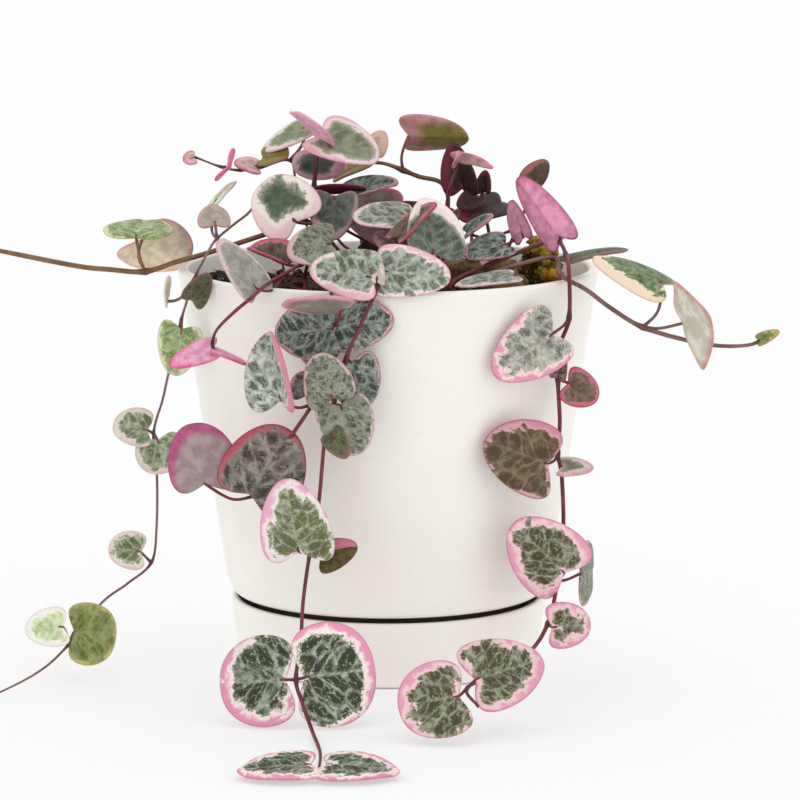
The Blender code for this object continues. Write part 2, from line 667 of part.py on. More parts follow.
def make_string(name, string, material):
    """A stem with its petioles and leaves, fused into one solid."""
    x, y = string.root
    root = [(x, y, ROOT_BOTTOM), (x, y, ROOT_TOP), (x, y, ROOT_ABOVE)]
    samples = smooth_route(root + string.route, STEM_STEP)
    bare = len(root)
    places = [place for place, _ in samples]
    nodes = {leaf.node + bare for leaf in string.leaves}
    radii = [
        string.radius * (NODE_SWELL if node in nodes else 1.0) for _, node in samples
    ]
    radii[-1] = string.radius * 0.7
    stem = make_tube(name, places, radii, 1)
    parts = []
    for leaf in string.leaves:
        start = Vector((root + string.route)[leaf.node + bare])
        parts.append(make_leaf(leaf))
        parts.append(make_petiole(start, leaf))
    combine(stem, parts, "UNION")
    stem.data.materials.clear()
    stem.data.materials.append(material)
    shade_round(stem.data, 50)
    return stem


TUBERS = {
    "tuber_front": ((17, 5, 92), (7, 5.5, 7)),
    "tuber_middle": ((27, -4, 91), (5, 4, 6.5)),
}
MOSS_CENTRE = (37, 8, 94)
MOSS_RADII = (6, 6, 8.5)

STRING_COLOURS = {
    "string_front": (0.24, 0.33, 0.22),
    "string_front_left": (0.26, 0.32, 0.25),
    "string_left_drop": (0.42, 0.46, 0.28),
    "string_left_branch": (0.50, 0.44, 0.28),
    "string_left_pink": (0.62, 0.25, 0.33),
    "string_right_drop": (0.36, 0.32, 0.22),
    "string_right_branch": (0.45, 0.45, 0.30),
    "string_arch": (0.34, 0.31, 0.12),
    "string_sprout": (0.55, 0.30, 0.32),
    "string_crown_right": (0.20, 0.07, 0.10),
    "string_crown_far_right": (0.45, 0.28, 0.28),
    "string_centre": (0.55, 0.45, 0.40),
    "string_middle": (0.38, 0.40, 0.34),
    "string_top_left": (0.52, 0.34, 0.28),
    "string_back_left": (0.28, 0.34, 0.24),
    "string_back_right": (0.28, 0.34, 0.24),
}


def main():
    """Build every piece."""
    clear_scene()
    glaze = make_material("cream glazed ceramic", (0.88, 0.86, 0.81), 0.28)
    pot_mesh = turned("pot", pot_profile())
    saucer_mesh = turned("saucer", saucer_profile())
    shade_round(pot_mesh)
    shade_round(saucer_mesh)
    add_object("pot", pot_mesh, glaze)
    add_object("saucer", saucer_mesh, glaze)

    skin = make_material("tuber skin", (0.25, 0.15, 0.05), 0.7)
    moss = make_material("moss", (0.30, 0.30, 0.04), 0.9)
    cutters = []
    for name, (centre, radii) in TUBERS.items():
        lump = make_lump(name, centre, radii, 0.18, skin, 2)
        cutters.append(lump_cutter(lump, centre))
    clump = make_lump("moss_clump", MOSS_CENTRE, MOSS_RADII, 0.4, moss, 2)
    cutters.append(lump_cutter(clump, MOSS_CENTRE))
    cutters.extend(stem_hole(string) for string in STRINGS.values())
    make_soil(cutters)

    for name, string in STRINGS.items():
        material = make_material(name + " leaves", STRING_COLOURS[name], 0.5)
        make_string(name, string, material)


if __name__ == "__main__":
    main()
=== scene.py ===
"""Potted string of hearts: fine leaves, stems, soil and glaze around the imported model.

The origin is on the ground under the middle of the saucer, +Z is up and -Y is the front.
Sizes and places are given in millimetres and become metres where meshes are made.
"""
import math
import random
from typing import NamedTuple

import bpy
import numpy as np
from mathutils import Euler, Matrix, Vector, noise


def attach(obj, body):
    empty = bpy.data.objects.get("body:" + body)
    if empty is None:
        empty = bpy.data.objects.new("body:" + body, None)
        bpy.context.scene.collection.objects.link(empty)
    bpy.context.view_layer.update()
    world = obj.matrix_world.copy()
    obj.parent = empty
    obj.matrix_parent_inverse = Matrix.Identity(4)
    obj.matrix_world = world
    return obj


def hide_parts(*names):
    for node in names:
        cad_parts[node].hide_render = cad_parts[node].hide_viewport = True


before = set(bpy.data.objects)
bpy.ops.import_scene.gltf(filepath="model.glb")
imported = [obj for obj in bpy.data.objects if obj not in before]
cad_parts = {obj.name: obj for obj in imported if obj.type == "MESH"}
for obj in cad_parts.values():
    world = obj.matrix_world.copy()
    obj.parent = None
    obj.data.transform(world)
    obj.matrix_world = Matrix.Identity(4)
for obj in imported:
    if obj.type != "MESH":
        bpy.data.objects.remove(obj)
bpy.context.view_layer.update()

bl_info = {
    "name": "Potted string of hearts",
    "version": (1, 0, 0),
    "blender": (4, 5, 0),
    "location": "View3D > Sidebar > String of hearts",
    "description": "Builds a potted string of hearts with its leaves, stems, soil and saucer",
    "category": "Add Mesh",
}

MM = 0.001

# Pot and saucer
POT_STEPS = 144
SHOULDER_RADIUS = 39.4
SHOULDER_HEIGHT = 20.7
WALL = 2.4
WALL_MIDDLE = 60
FOOT_RADIUS = 33.0
FOOT_TOP = 17.0
LOWER_CORNER = (37.6, 17.1)
POT_BASE = 3.3
POT_FLOOR = 6.3
DRAIN_RADIUS = 5.0
# Painted shade: the pot turns dark clay-brown below this height, for the shadow in the gap above the saucer
POT_PAINTED_SHADE_TOP = 17.6
SAUCER_FLOOR = 3.0
SAUCER_FOOT_RADIUS = 36.6
SAUCER_WALL = 2.2
# Painted contact shadow: the saucer's foot turns dark below this height, where it meets the floor
SAUCER_PAINTED_SHADE_TOP = 0.5
CORNER_ANGLE = 35  # degrees; sharper corners stay sharp when the glaze is shaded smooth

# Soil
SOIL_STEPS = 120
SOIL_RINGS = 26
SOIL_LEVEL = 89.0
SOIL_ROUGHNESS = 1.1
SOIL_CLEARANCE = 0.3
HEAP_CENTRE = (-40.0, 14.0)
HEAP_HEIGHT = 4.0
HEAP_SPREAD = 14.0
BIT_MARGIN = 1.2  # the middle of a bit stays this far in from the soil's edge
BIT_TILT = 0.5  # radians that a flat bit leans each way at most

# Tubers and moss: centres and radii
TUBERS = {
    "tuber_front": ((17, 5, 92), (7, 5.5, 7)),
    "tuber_middle": ((27, -4, 91), (6, 4.5, 8.5)),
}
MOSS_CENTRE = (37, 8, 94)
MOSS_RADII = (6, 6, 8.5)
MOSS_BASE_SHARE = 0.84  # the dark base is this much of the clump, and cushions cover it
MOSS_LOWEST = 90  # cushions and tufts grow on the base above this height
GOLDEN_SHARE = 0.4
CUSHION_SIZES = (0.9, 2.0)
TUFT_SIZES = (0.5, 0.9)
TUFT_LEAFLETS = 12
LEAFLET_RADIUS = 0.22
LEAFLET_LENGTH = 1.1
LEAFLET_LIFT = 0.4
LEAFLET_FLATNESS = 0.4

# Stems: the heights at which a stem rises from the soil, and its joints
ROOT_HEIGHTS = (84.0, 93.0, 96.0)
STEM_SAMPLE = 1.2
NODE_SWELL = 0.5
NODE_LENGTH = 1.1
END_TAPER = 0.3
TAPER_START = 0.85
TAPER_LENGTH = 0.15
TUBE_SIDES_LEVEL = 2  # the bevel resolution that gives a tube its eight sides
KNOT_STRENGTH = 1.25
KNOT_LENGTH = 2.2

# Leaf stalks; each end swells by a share of the radius, over a share of the length
PETIOLE_RADIUS = 0.36
PETIOLE_SAMPLE = 0.7
PETIOLE_SINK = 1.4
LONG_PETIOLE = 5.0
PETIOLE_BEND = 0.12
PETIOLE_SAG = 0.06
STEM_END_SWELL, STEM_END_LENGTH = 0.3, 0.15
LEAF_END_SWELL, LEAF_END_LENGTH = 0.2, 0.25
PETIOLE_TIP = 0.55

# Leaf outline: a heart, in half widths across and in lengths along from its notch
OUTLINE_POINTS = 56
# Smaller hearts inside the outline, as shares of it about the leaf's centre
RING_SHARES = (0.975, 0.94, 0.89, 0.82, 0.74, 0.65, 0.55, 0.44, 0.33, 0.22, 0.11)
LEAF_CENTRE = (0.0, 0.38)
ROUNDNESS = 0.88
SHOULDERS = 0.1  # how much fuller the heart is towards its notch
WIDEST = 1.004  # about the greatest half width, by which the outline is divided
LOBE = 0.22
APEX = 0.06

# How leaves differ: wide ones are fuller towards the tip and narrow ones towards the notch,
# and those about as wide as long are pointed
WIDE_RATIO = 1.05
WIDE_FULLNESS = 0.55
FULLNESS_LIMITS = (-0.12, 0.3)
FULLNESS_CENTRE = 0.45
POINTED_RATIO = 1.02
POINTED_FALLOFF = 5
TIP_NARROWING = 0.12
TIP_LENGTHENING = 0.04
LOPSIDEDNESS = 0.05

# Leaf shape in space
BOW = 0.09
CUPPING = 0.05
FOLD_SOFTNESS = 0.07
WAVE_STRETCH = 1.7
WAVE_LIMIT = 1.3
PUCKER_SCALE = 0.33
PUCKER_DEPTH = 0.16
PUCKER_FADE = 2
PUCKER_STEP = 3.1  # how far apart in the noise the puckers of two leaves lie
CREASE_DEPTH = 0.2
CREASE_WIDTH = 0.55
CREASE_FADE = 1.5
MARGIN_FADE = 1.6  # how far in from its margin the blade reaches its full thickness
MARGIN_SWELL = 0.16
LOWEST_POINT = 0.06  # leaves that lie on the floor stop at this height

# Leaf pattern
PATTERN_HALF_WIDTH = 10  # a leaf of this half width shows the marks at their own size
PATTERN_GROWTH = 0.45
PATTERN_STEP = 9.7  # how far apart in the noise the patterns of two leaves lie
NOTCH_THINNING = 1.3
NOTCH_REACH = 0.4
LEAF_SHEEN = 0.024
DARKEST_SHARE = 0.45

# Floor, light and camera, in metres and degrees
FLOOR_SIZE = 24.0
FLOOR_SHADE = 0.985
LIGHT_AIM = (0, 0, 0.06)
CAMERA_PLACE = (0.0028, -1.080, 0.235)
CAMERA_TILT = 81.0
CAMERA_SENSOR = 36.0
CAMERA_RANGE = (0.01, 100.0)
WHITE = (1.0, 1.0, 1.0, 1.0)


class Leaf(NamedTuple):
    """A heart-shaped leaf: where it grows, its place and turn, its size and its look."""

    node: int  # the point of the stem's route that it grows from; -1 is the stem's foot
    notch: tuple
    tip: tuple
    face: tuple  # the way that its upper face looks
    width: float
    fold: float  # degrees that each side is folded up
    look: str
    pale: tuple = (0.0, 0.0)  # where the border is wider: to the leaf's left, to its tip
    pinch: float = 0.0  # how far its two sides draw in to points


class String(NamedTuple):
    """A leafy stem: where it leaves the soil, its route, and its leaves."""

    root: tuple
    radius: float
    route: list
    leaves: list


STRINGS = {}

STRINGS["front"] = String(
    root=(1, -20), radius=0.47,
    route=[
        (1, -27, 101), (-1, -38, 104), (-2, -52, 99.5), (-6, -57, 91), (-9.5, -58, 83),
        (-12.5, -58, 72), (-14.5, -58, 64.5), (-16, -59, 49), (-18, -60, 38), (-19.5, -65, 27.5),
        (-20, -70, 19), (-21, -75, 11), (-19.5, -79, 6.5), (-17, -86, 1.2), (-15, -104, 0.8),
        (-15, -122, 0.8),
    ],
    leaves=[
        Leaf(2, (-4, -54.5, 101.2), (-17.6, -55, 103.2), (-0.1, -1, 0.25), 11.4, 8, "silver", (1.3, -0.2)),
        Leaf(2, (-1, -51, 102), (14.3, -51, 101), (0.1, -1, 0.3), 12, 8, "silver", (0.5, -0.6)),
        Leaf(2, (-2.5, -54.5, 100.2), (-2.2, -54, 105), (-0.2, -1, 0.1), 3.4, 10, "bud"),
        Leaf(5, (-12.8, -61, 74), (-16, -63, 84), (0, -1, 0.1), 11.8, 6, "fine_silver"),
        Leaf(4, (-8.5, -56, 81.5), (-5.5, -55, 70.5), (0.5, -1, 0), 13, 6, "slate", (0.0, -0.6)),
        Leaf(5, (-11, -59, 72), (-7, -60, 61), (0.1, -1, 0.15), 13, 8, "fine_silver"),
        Leaf(6, (-13, -61, 65.5), (-9.5, -64, 61), (0, -1, 0.2), 5.5, 10, "dark_olive"),
        Leaf(8, (-20.5, -63, 38.5), (-23.5, -65, 54.8), (-0.1, -1, 0.15), 16.5, 6, "fresh", (1.0, 0.2)),
        Leaf(8, (-15.5, -60, 36.5), (-7.5, -61, 39.5), (0.1, -1, 0.1), 7.6, 14, "two_tone", (9.0, 0.0)),
        Leaf(11, (-23.5, -75, 11), (-38.5, -74, 10), (-0.05, -1, 0.35), 22, 5, "bold", (1.5, 0.6)),
        Leaf(11, (-19, -75, 11.5), (-3, -74, 13.5), (0.05, -1, 0.35), 25.5, 5, "bold", (1.5, 0.7)),
        Leaf(15, (-17, -123, 2.6), (-32, -126, 3), (0, -0.15, 1), 16, 4, "bold"),
        Leaf(15, (-13, -123, 2.6), (2, -126, 3), (0, -0.15, 1), 16, 4, "bold"),
    ],
)
STRINGS["front_left"] = String(
    root=(-13, -20), radius=0.47,
    route=[
        (-14, -26, 101), (-15, -36, 103), (-14, -46, 102), (-13, -51.3, 96.8), (-13, -56, 90),
        (-14, -57, 84.5), (-15.5, -57, 78), (-17.5, -57, 72), (-21.5, -55, 65.5), (-26.5, -53.5, 57.5),
        (-30.5, -54, 50),
    ],
    leaves=[
        Leaf(0, (-13.5, -27.5, 105.5), (-23.5, -29, 104), (-0.1, -0.8, 0.55), 11.5, 8,
             "fine_silver", (0.0, 1.3)),
        Leaf(4, (-11, -60, 94.5), (-23.5, -62, 97), (-0.1, 0.45, 0.9), 13, 5, "under"),
        Leaf(4, (-13, -57, 89.5), (-26, -52.5, 87.7), (-0.35, -1, 0.1), 14.5, 8, "slate"),
        Leaf(4, (-11.5, -54.5, 90), (1, -52.5, 91), (0.15, -1, 0.15), 12.5, 6, "slate"),
        Leaf(5, (-15, -56, 85.5), (-19.5, -55, 81.5), (-0.2, -1, 0), 8, 6, "slate"),
        Leaf(7, (-24.5, -60, 73.5), (-27.5, -61, 88.5), (-0.5, -0.9, 0.1), 16.5, 44, "folded", (-3.4, 0.0)),
        Leaf(7, (-19, -54, 73.5), (-19.5, -53, 79), (0, -1, 0), 7, 6, "slate"),
        Leaf(10, (-31.8, -56, 50.8), (-23.5, -55.5, 65.8), (-0.15, -1, 0.2), 20.5, 7, "dusk", (0.7, 0.0)),
        Leaf(10, (-42.5, -52, 52.5), (-45, -51, 66.5), (0.1, 1, 0.1), 17, 6, "mauve", (-1.5, 1.6)),
    ],
)
STRINGS["left_drop"] = String(
    root=(-26, 12), radius=0.31,
    route=[
        (-31, 8, 110.5), (-34.5, 2, 109), (-41, -12, 105), (-43, -22, 102.5), (-44, -28, 101),
        (-45.5, -30, 98), (-49, -26, 87.5), (-52.5, -20, 73.5), (-54, -18, 67), (-56.5, -14, 58),
        (-56, -10, 47), (-56.5, -5, 33), (-58, -2, 24), (-63.5, -8, 20), (-69.5, -15, 16.5),
        (-76.5, -31, 9.5), (-83.5, -42, 5), (-97, -57, 0.8),
    ],
    leaves=[
        Leaf(2, (-41.5, -10, 108), (-42.5, -4, 112.5), (0, -0.8, 0.6), 7.6, 5, "blush_grey"),
        Leaf(2, (-42, 0, 112), (-37.5, 3, 117.5), (-0.8, -0.3, 0.4), 6, 10, "pale_lime"),
        Leaf(5, (-46.2, -31, 92.8), (-42.3, -32, 98.7), (0.4, -1, 0), 6.4, 10, "dark_olive"),
        Leaf(5, (-52.5, -24, 91.5), (-52.5, -22, 97), (-1, 0, 0.1), 11, 8, "pale_lime"),
        Leaf(6, (-49, -26, 85), (-51, -25, 74), (-0.1, -1, 0.1), 10.5, 10, "soft_lime"),
        Leaf(9, (-58, -15, 59), (-66, -15, 60.5), (-0.2, -0.9, 0.5), 10, 10, "leafy"),
        Leaf(9, (-55.5, -15, 56.5), (-53.5, -17, 49), (0.2, -1, 0.2), 13, 6, "leafy"),
        Leaf(12, (-60.5, -4, 27), (-68, -5, 28.5), (-0.2, -0.9, 0.5), 10, 10, "leafy", (0.0, -0.6)),
        Leaf(15, (-75, -29, 12.5), (-65, -25, 11), (0.2, -1, 0.2), 15.5, 6, "round_olive"),
        Leaf(15, (-77.5, -33, 14.5), (-86, -34, 14), (-0.1, -1, 0.2), 9.5, 10, "pale_lime"),
    ],
)
STRINGS["left_branch"] = String(
    root=(-9, 4), radius=0.62,
    route=[
        (-20, -4, 108.5), (-29, -6, 105.5), (-43.5, -8, 101), (-50.5, -8, 99), (-58.5, -8, 96.5),
        (-67, -8, 97), (-75, -9, 98), (-93, -12, 102), (-103, -13, 104),
    ],
    leaves=[
        Leaf(4, (-60.5, -10, 105), (-59, 5, 108.5), (0, -0.3, 1), 16.5, 8, "lime", (0.3, 0.3)),
        Leaf(4, (-60, 6, 102.5), (-50.5, 15.5, 96), (0.1, 1, 0.4), 18, 8, "peach"),
    ],
)
STRINGS["left_pink"] = String(
    root=(-20, -12), radius=0.43,
    route=[
        (-19.5, -26, 101), (-24.5, -37, 99.5), (-28, -46, 98.5), (-31.5, -51, 96), (-35.5, -54, 93),
        (-39.5, -55, 89), (-40.5, -55, 86),
    ],
    leaves=[
        Leaf(6, (-40.5, -55, 84.5), (-50.5, -56, 81.5), (0.1, -0.55, 0.83), 7.5, 8, "hot"),
        Leaf(6, (-40, -55, 84), (-32.5, -54, 81.5), (0.2, -0.1, 0.97), 6, 6, "hot"),
        Leaf(1, (-30.5, -47, 97.5), (-38.5, -44, 109), (0.45, -0.6, 0.65), 10.5, 5, "grey"),
        Leaf(0, (-24, -22, 100), (-33, -18, 104), (0, -0.35, 0.95), 12, 40, "rose"),
    ],
)
STRINGS["right_drop"] = String(
    root=(16, -19), radius=0.5,
    route=[
        (40, -4, 104), (41, -15, 104.5), (42, -27, 103), (42.5, -34, 99.5), (42.5, -35.5, 89),
        (40.5, -35, 82.5), (40, -35, 74.5), (40.5, -35, 64), (40, -35, 57), (41, -35, 51.5),
        (41.5, -35, 40), (41, -36, 31.5), (40, -38, 26.5), (39, -42, 22), (37.5, -48, 18.5),
        (34, -58, 15), (27, -75, 13), (18, -88, 12), (20.5, -92, 8.5),
    ],
    leaves=[
        Leaf(4, (38.5, -40, 86), (25.5, -46, 77.5), (0.35, -1, 0.1), 15.5, 6, "silver_pink", (0.3, 0.5)),
        Leaf(6, (40, -37, 75.5), (41, -38, 81), (-0.3, -1, 0), 4.5, 30, "dusk"),
        Leaf(6, (42.5, -35, 73.5), (49.5, -33, 69.5), (0.2, -1, 0.1), 9, 10, "rose"),
        Leaf(8, (37.5, -39, 55), (23.5, -43.5, 61), (0.3, -1, 0.1), 18, 8, "dusk_pink", (-1.4, -0.6)),
        Leaf(8, (41, -36, 53.5), (48, -37, 54), (0, -0.55, 0.83), 6.6, 10, "blush_green"),
        Leaf(12, (41.5, -40, 29), (30, -42, 40.5), (-0.1, -1, 0.1), 18, 6, "olive_bold", (0.4, -0.6)),
        Leaf(12, (45.5, -36, 28), (50, -24, 26.5), (1, -0.4, 0), 16, 5, "fine_silver", (0.0, 0.0), 0.4),
        Leaf(14, (38.5, -50, 18), (47.5, -48, 18.5), (0.1, -1, 0.2), 11, 6, "olive_bold", (0.2, -0.5)),
        Leaf(17, (20, -86, 13.5), (35, -79, 17), (0, -1, 0.5), 17, 5, "olive_bold", (-0.7, 0.0)),
        Leaf(17, (16, -90, 10.5), (2.5, -91, 8.5), (0, -1, 0.7), 19.5, 5, "olive_bold", (-1.4, 0.9)),
        Leaf(1, (41, -15.3, 105.8), (31.8, -11.5, 119.6), (0.35, 0.9, 0.2), 9.5, 12, "plum_edged"),
        Leaf(2, (43, -24, 101), (56.5, -20, 104.5), (-0.3, -0.1, 0.95), 10, 10, "dark_olive"),
    ],
)
STRINGS["right_branch"] = String(
    root=(20, -21), radius=0.55,
    route=[
        (38.5, -20, 101.5), (40.5, -30, 98.6), (46.5, -33, 95.5), (52.5, -33, 91), (60, -33, 86.5),
        (71, -31, 83), (78.5, -29, 81.5), (85, -28, 81.5), (88, -28, 82.5),
    ],
    leaves=[
        Leaf(4, (64.5, -33.5, 96.8), (49, -30, 104), (0.31, -0.4, 0.85), 13.5, -10,
             "cream_green", (3.0, 0.9)),
        Leaf(4, (69.5, -33, 87.5), (76, -46, 91), (0.84, 0.44, 0.3), 23, -7, "lens", (0.0, 0.0), 0.72),
        Leaf(8, (88, -28, 82.8), (92.3, -28, 84.8), (0, -1, 0.3), 2.9, 20, "round_olive"),
    ],
)
STRINGS["arch"] = String(
    root=(12, 15), radius=0.55,
    route=[
        (14.5, 9, 110.5), (13, 9, 116), (7.5, 10, 117.5), (3.5, 11, 119), (-0.5, 11, 120.5),
        (-4, 11, 121),
    ],
    leaves=[
        Leaf(3, (5, 11, 127.5), (19, 8, 128.5), (0, 0.68, 0.73), 15.5, 11, "olive_arch", (-0.8, -3.2)),
        Leaf(5, (-4.5, 11.5, 121), (-13.5, 12, 117.2), (0.2, -0.2, 0.95), 10, 10, "olive"),
        Leaf(5, (-3.5, 15, 123), (-1.5, 16, 128), (-0.2, -0.8, 0.3), 6, 10, "peach"),
    ],
)
STRINGS["sprout"] = String(
    root=(13, -3), radius=0.39,
    route=[
        (14, -3, 111.5), (15, -4.5, 117), (16.5, -4.5, 121.7),
    ],
    leaves=[
        Leaf(2, (16.5, -4.5, 122.7), (25, -7.5, 122.2), (0, 0.3, 0.95), 6, 50, "blush"),
        Leaf(2, (16.5, -4.5, 122.7), (16.5, -10.5, 125.2), (-0.9, 0, 0.3), 4, 20, "blush"),
    ],
)
STRINGS["crown_right"] = String(
    root=(26, 6), radius=0.43,
    route=[
        (23.5, 5, 109), (22.5, 5, 112.5), (23, 5, 114.5),
    ],
    leaves=[
        Leaf(2, (18, 3, 115.5), (15.5, 2, 125.8), (-0.3, -0.9, 0.2), 10, 30, "maroon", (4.0, 0.0)),
        Leaf(2, (23, 4, 115), (23.5, 3, 119.5), (-0.3, -1, 0), 4, 20, "maroon"),
        Leaf(1, (21.5, 2, 113.5), (17, 0, 111.5), (0, -0.9, 0.4), 5.5, 10, "maroon"),
        Leaf(0, (27.5, 5.5, 111.5), (18, -1, 109), (-0.3, -0.6, 0.7), 11, 10, "maroon", (-2.0, 1.5)),
    ],
)
STRINGS["crown_far_right"] = String(
    root=(28, 14), radius=0.39,
    route=[
        (31, -1, 106), (33.5, -1, 112), (34.5, 1, 115.5),
    ],
    leaves=[
        Leaf(2, (34.5, 3, 117), (38, 5, 122), (-0.3, -0.9, 0.3), 6.5, 15, "brown", (2.5, 0.0)),
        Leaf(0, (32.5, -7.5, 105), (29, -4.5, 113), (-0.7, -0.7, 0.2), 6, 10, "plum_edged"),
        Leaf(0, (19, -7.5, 106), (24.5, -9.5, 110.5), (-0.5, -0.3, 0.8), 7, 10, "slate"),
        Leaf(0, (28, -10.5, 103.2), (18.5, -13.5, 101.6), (0, -0.45, 0.9), 11, 8, "slate"),
    ],
)
STRINGS["centre"] = String(
    root=(-15, 8), radius=0.55,
    route=[
        (-17, 2, 111.5), (-18, 3, 115.5), (-17.5, 2, 121), (-17, 2, 125.5),
    ],
    leaves=[
        Leaf(3, (-15.5, 1, 127), (-22.5, -1, 135), (0.68, 0.25, 0.68), 17, 8, "pink"),
        Leaf(3, (-16, 2, 128.5), (-3, -4, 124), (0.2, -0.75, 0.6), 13.5, 8, "blush_green", (0.0, -0.9)),
        Leaf(3, (-17, 3.5, 124), (-17, 5.5, 117), (0, -1, 0.2), 13.5, 6, "slate_pink", (0.8, 0.0)),
        Leaf(1, (-16, 1, 115), (-6, -2, 117), (0, 0.2, 1), 10, 10, "maroon"),
        Leaf(1, (-10.5, 3, 114.5), (1.5, 0, 118), (0, -0.3, 0.95), 12, 10, "slate"),
        Leaf(0, (-22, -12, 109), (-30.5, -8, 118), (-0.2, -0.9, 0.4), 16.5, 6, "cream", (1.0, -2.6)),
        Leaf(0, (-13, -7, 114.5), (-13.5, -15, 106), (0, -0.9, 0.45), 12, 6, "ink"),
        Leaf(0, (-5.5, 2, 107.5), (1, -8, 103), (-0.1, -0.6, 0.8), 9, 12, "dusty"),
        Leaf(0, (-5.5, 4, 102.5), (-0.5, 2, 100.5), (0, -0.8, 0.5), 8, 10, "maroon"),
        Leaf(0, (-1, -12, 99.5), (3.5, -16, 104.5), (-0.3, -0.7, 0.6), 8, 14, "rose"),
    ],
)
STRINGS["middle"] = String(
    root=(6, -9), radius=0.43,
    route=[
        (4, -12, 105.5), (5, -8, 109),
    ],
    leaves=[
        Leaf(1, (5.5, -8, 109.5), (-7.5, -15, 111), (0, -0.45, 0.9), 14, 8, "silver"),
        Leaf(0, (2.5, -22, 106.5), (10.5, -20, 115), (-0.73, -0.35, 0.6), 10, 10, "rose"),
        Leaf(0, (10.5, -24, 103), (10.5, -15, 115), (0.35, -0.8, 0.3), 15.5, 18, "cream_grey", (-0.8, 4.0)),
        Leaf(0, (4, -18, 102.5), (-3, -14, 107), (-0.2, -0.6, 0.8), 8, 12, "dusty"),
        Leaf(-1, (28.8, -32, 98.4), (15.8, -35, 97.6), (0, -0.1, 1), 11, 4, "silver"),
    ],
)
STRINGS["top_left"] = String(
    root=(-18, 15), radius=0.31,
    route=[
        (-22.5, 13, 115), (-24, 10, 121.5), (-31, 8, 120), (-36, 6, 119.5), (-40.5, 4, 120.5),
        (-46.5, 2, 123),
    ],
    leaves=[
        Leaf(5, (-47, 2, 123), (-49.5, 1, 122.5), (-0.2, -1, 0.2), 3.5, 15, "blush"),
        Leaf(4, (-38.5, 4, 120.5), (-39.5, -5, 121.5), (-0.85, 0.1, 0.5), 9.5, 20, "hot"),
        Leaf(3, (-32, 8, 120), (-37, 6, 121.5), (0, -0.6, 0.8), 6, 10, "blush"),
        Leaf(2, (-30.5, 10, 122), (-24.5, 8, 123.5), (0, -0.5, 0.85), 10, 15, "olive"),
        Leaf(1, (-20, 11, 129.3), (-31, 12, 124.5), (-0.1, -0.5, 0.85), 8.5, 6, "pale_soft"),
    ],
)
STRINGS["back_left"] = String(
    root=(-6, 26), radius=0.47,
    route=[
        (-8, 33, 103), (-12, 44, 104), (-15, 53, 98), (-16, 55, 86), (-16, 54, 72), (-17, 54, 60),
        (-17, 54, 50),
    ],
    leaves=[
        Leaf(0, (-10, 30, 105), (-20, 26, 112), (-0.3, -0.2, 1), 15, 8, "silver"),
        Leaf(1, (-9, 45, 105), (3, 47, 109), (0.1, 0.6, 0.8), 15, 6, "bold"),
        Leaf(3, (-18, 56, 86), (-31, 57, 89), (-0.1, 1, 0.2), 15, 8, "silver"),
        Leaf(3, (-14, 57, 85), (-2, 58, 89), (0.1, 1, 0.2), 14, 6, "dusk"),
        Leaf(5, (-15, 56, 60), (-4, 58, 67), (0.1, 1, 0.2), 14, 6, "silver"),
        Leaf(6, (-17, 55, 48), (-20, 57, 36), (0, 1, 0.2), 12, 8, "bold"),
    ],
)
STRINGS["back_right"] = String(
    root=(14, 28), radius=0.47,
    route=[
        (17, 36, 104), (20, 45, 103), (21, 51.5, 97), (21, 53, 86), (20, 52, 74), (21, 51, 62),
    ],
    leaves=[
        Leaf(0, (19, 34, 105), (29, 28, 110), (0.3, 0, 1), 15, 8, "silver"),
        Leaf(0, (13, 37, 105), (2, 33, 109), (-0.2, 0.2, 1), 14, 8, "dusk"),
        Leaf(3, (23, 54, 87), (35, 54, 92), (0.2, 1, 0.2), 14, 6, "bold"),
        Leaf(5, (19, 52, 61), (9, 54, 53), (0, 1, 0.2), 14, 6, "silver"),
        Leaf(5, (23, 52, 60), (31, 53, 50), (0.2, 1, 0.2), 12, 8, "dusk"),
    ],
)

STEM_LOOKS = {"left_drop": "grey", "top_left": "grey", "left_branch": "brown",
              "right_branch": "grey", "arch": "brown"}


class LeafLook(NamedTuple):
    """One kind of leaf: screen colours from 0 to 255, and its pattern in millimetres or shares."""

    patch: tuple
    outer: tuple  # patches near the border
    halo: tuple  # the softer tone beside the pale lines
    net: tuple
    border: tuple
    border_pale: tuple  # the inner side of the border
    edge: tuple
    under: tuple
    under_rim: tuple
    border_width: float = 1.0
    wander: float = 1.0
    fringe_width: float = 0.8
    halo_strength: float = 0.5
    net_strength: float = 0.8
    line_width: float = 0.45
    halo_width: float = 1.1
    cell: float = 3.0
    edge_strength: float = 0.5
    grit: float = 0.35
    softness: float = 1.0


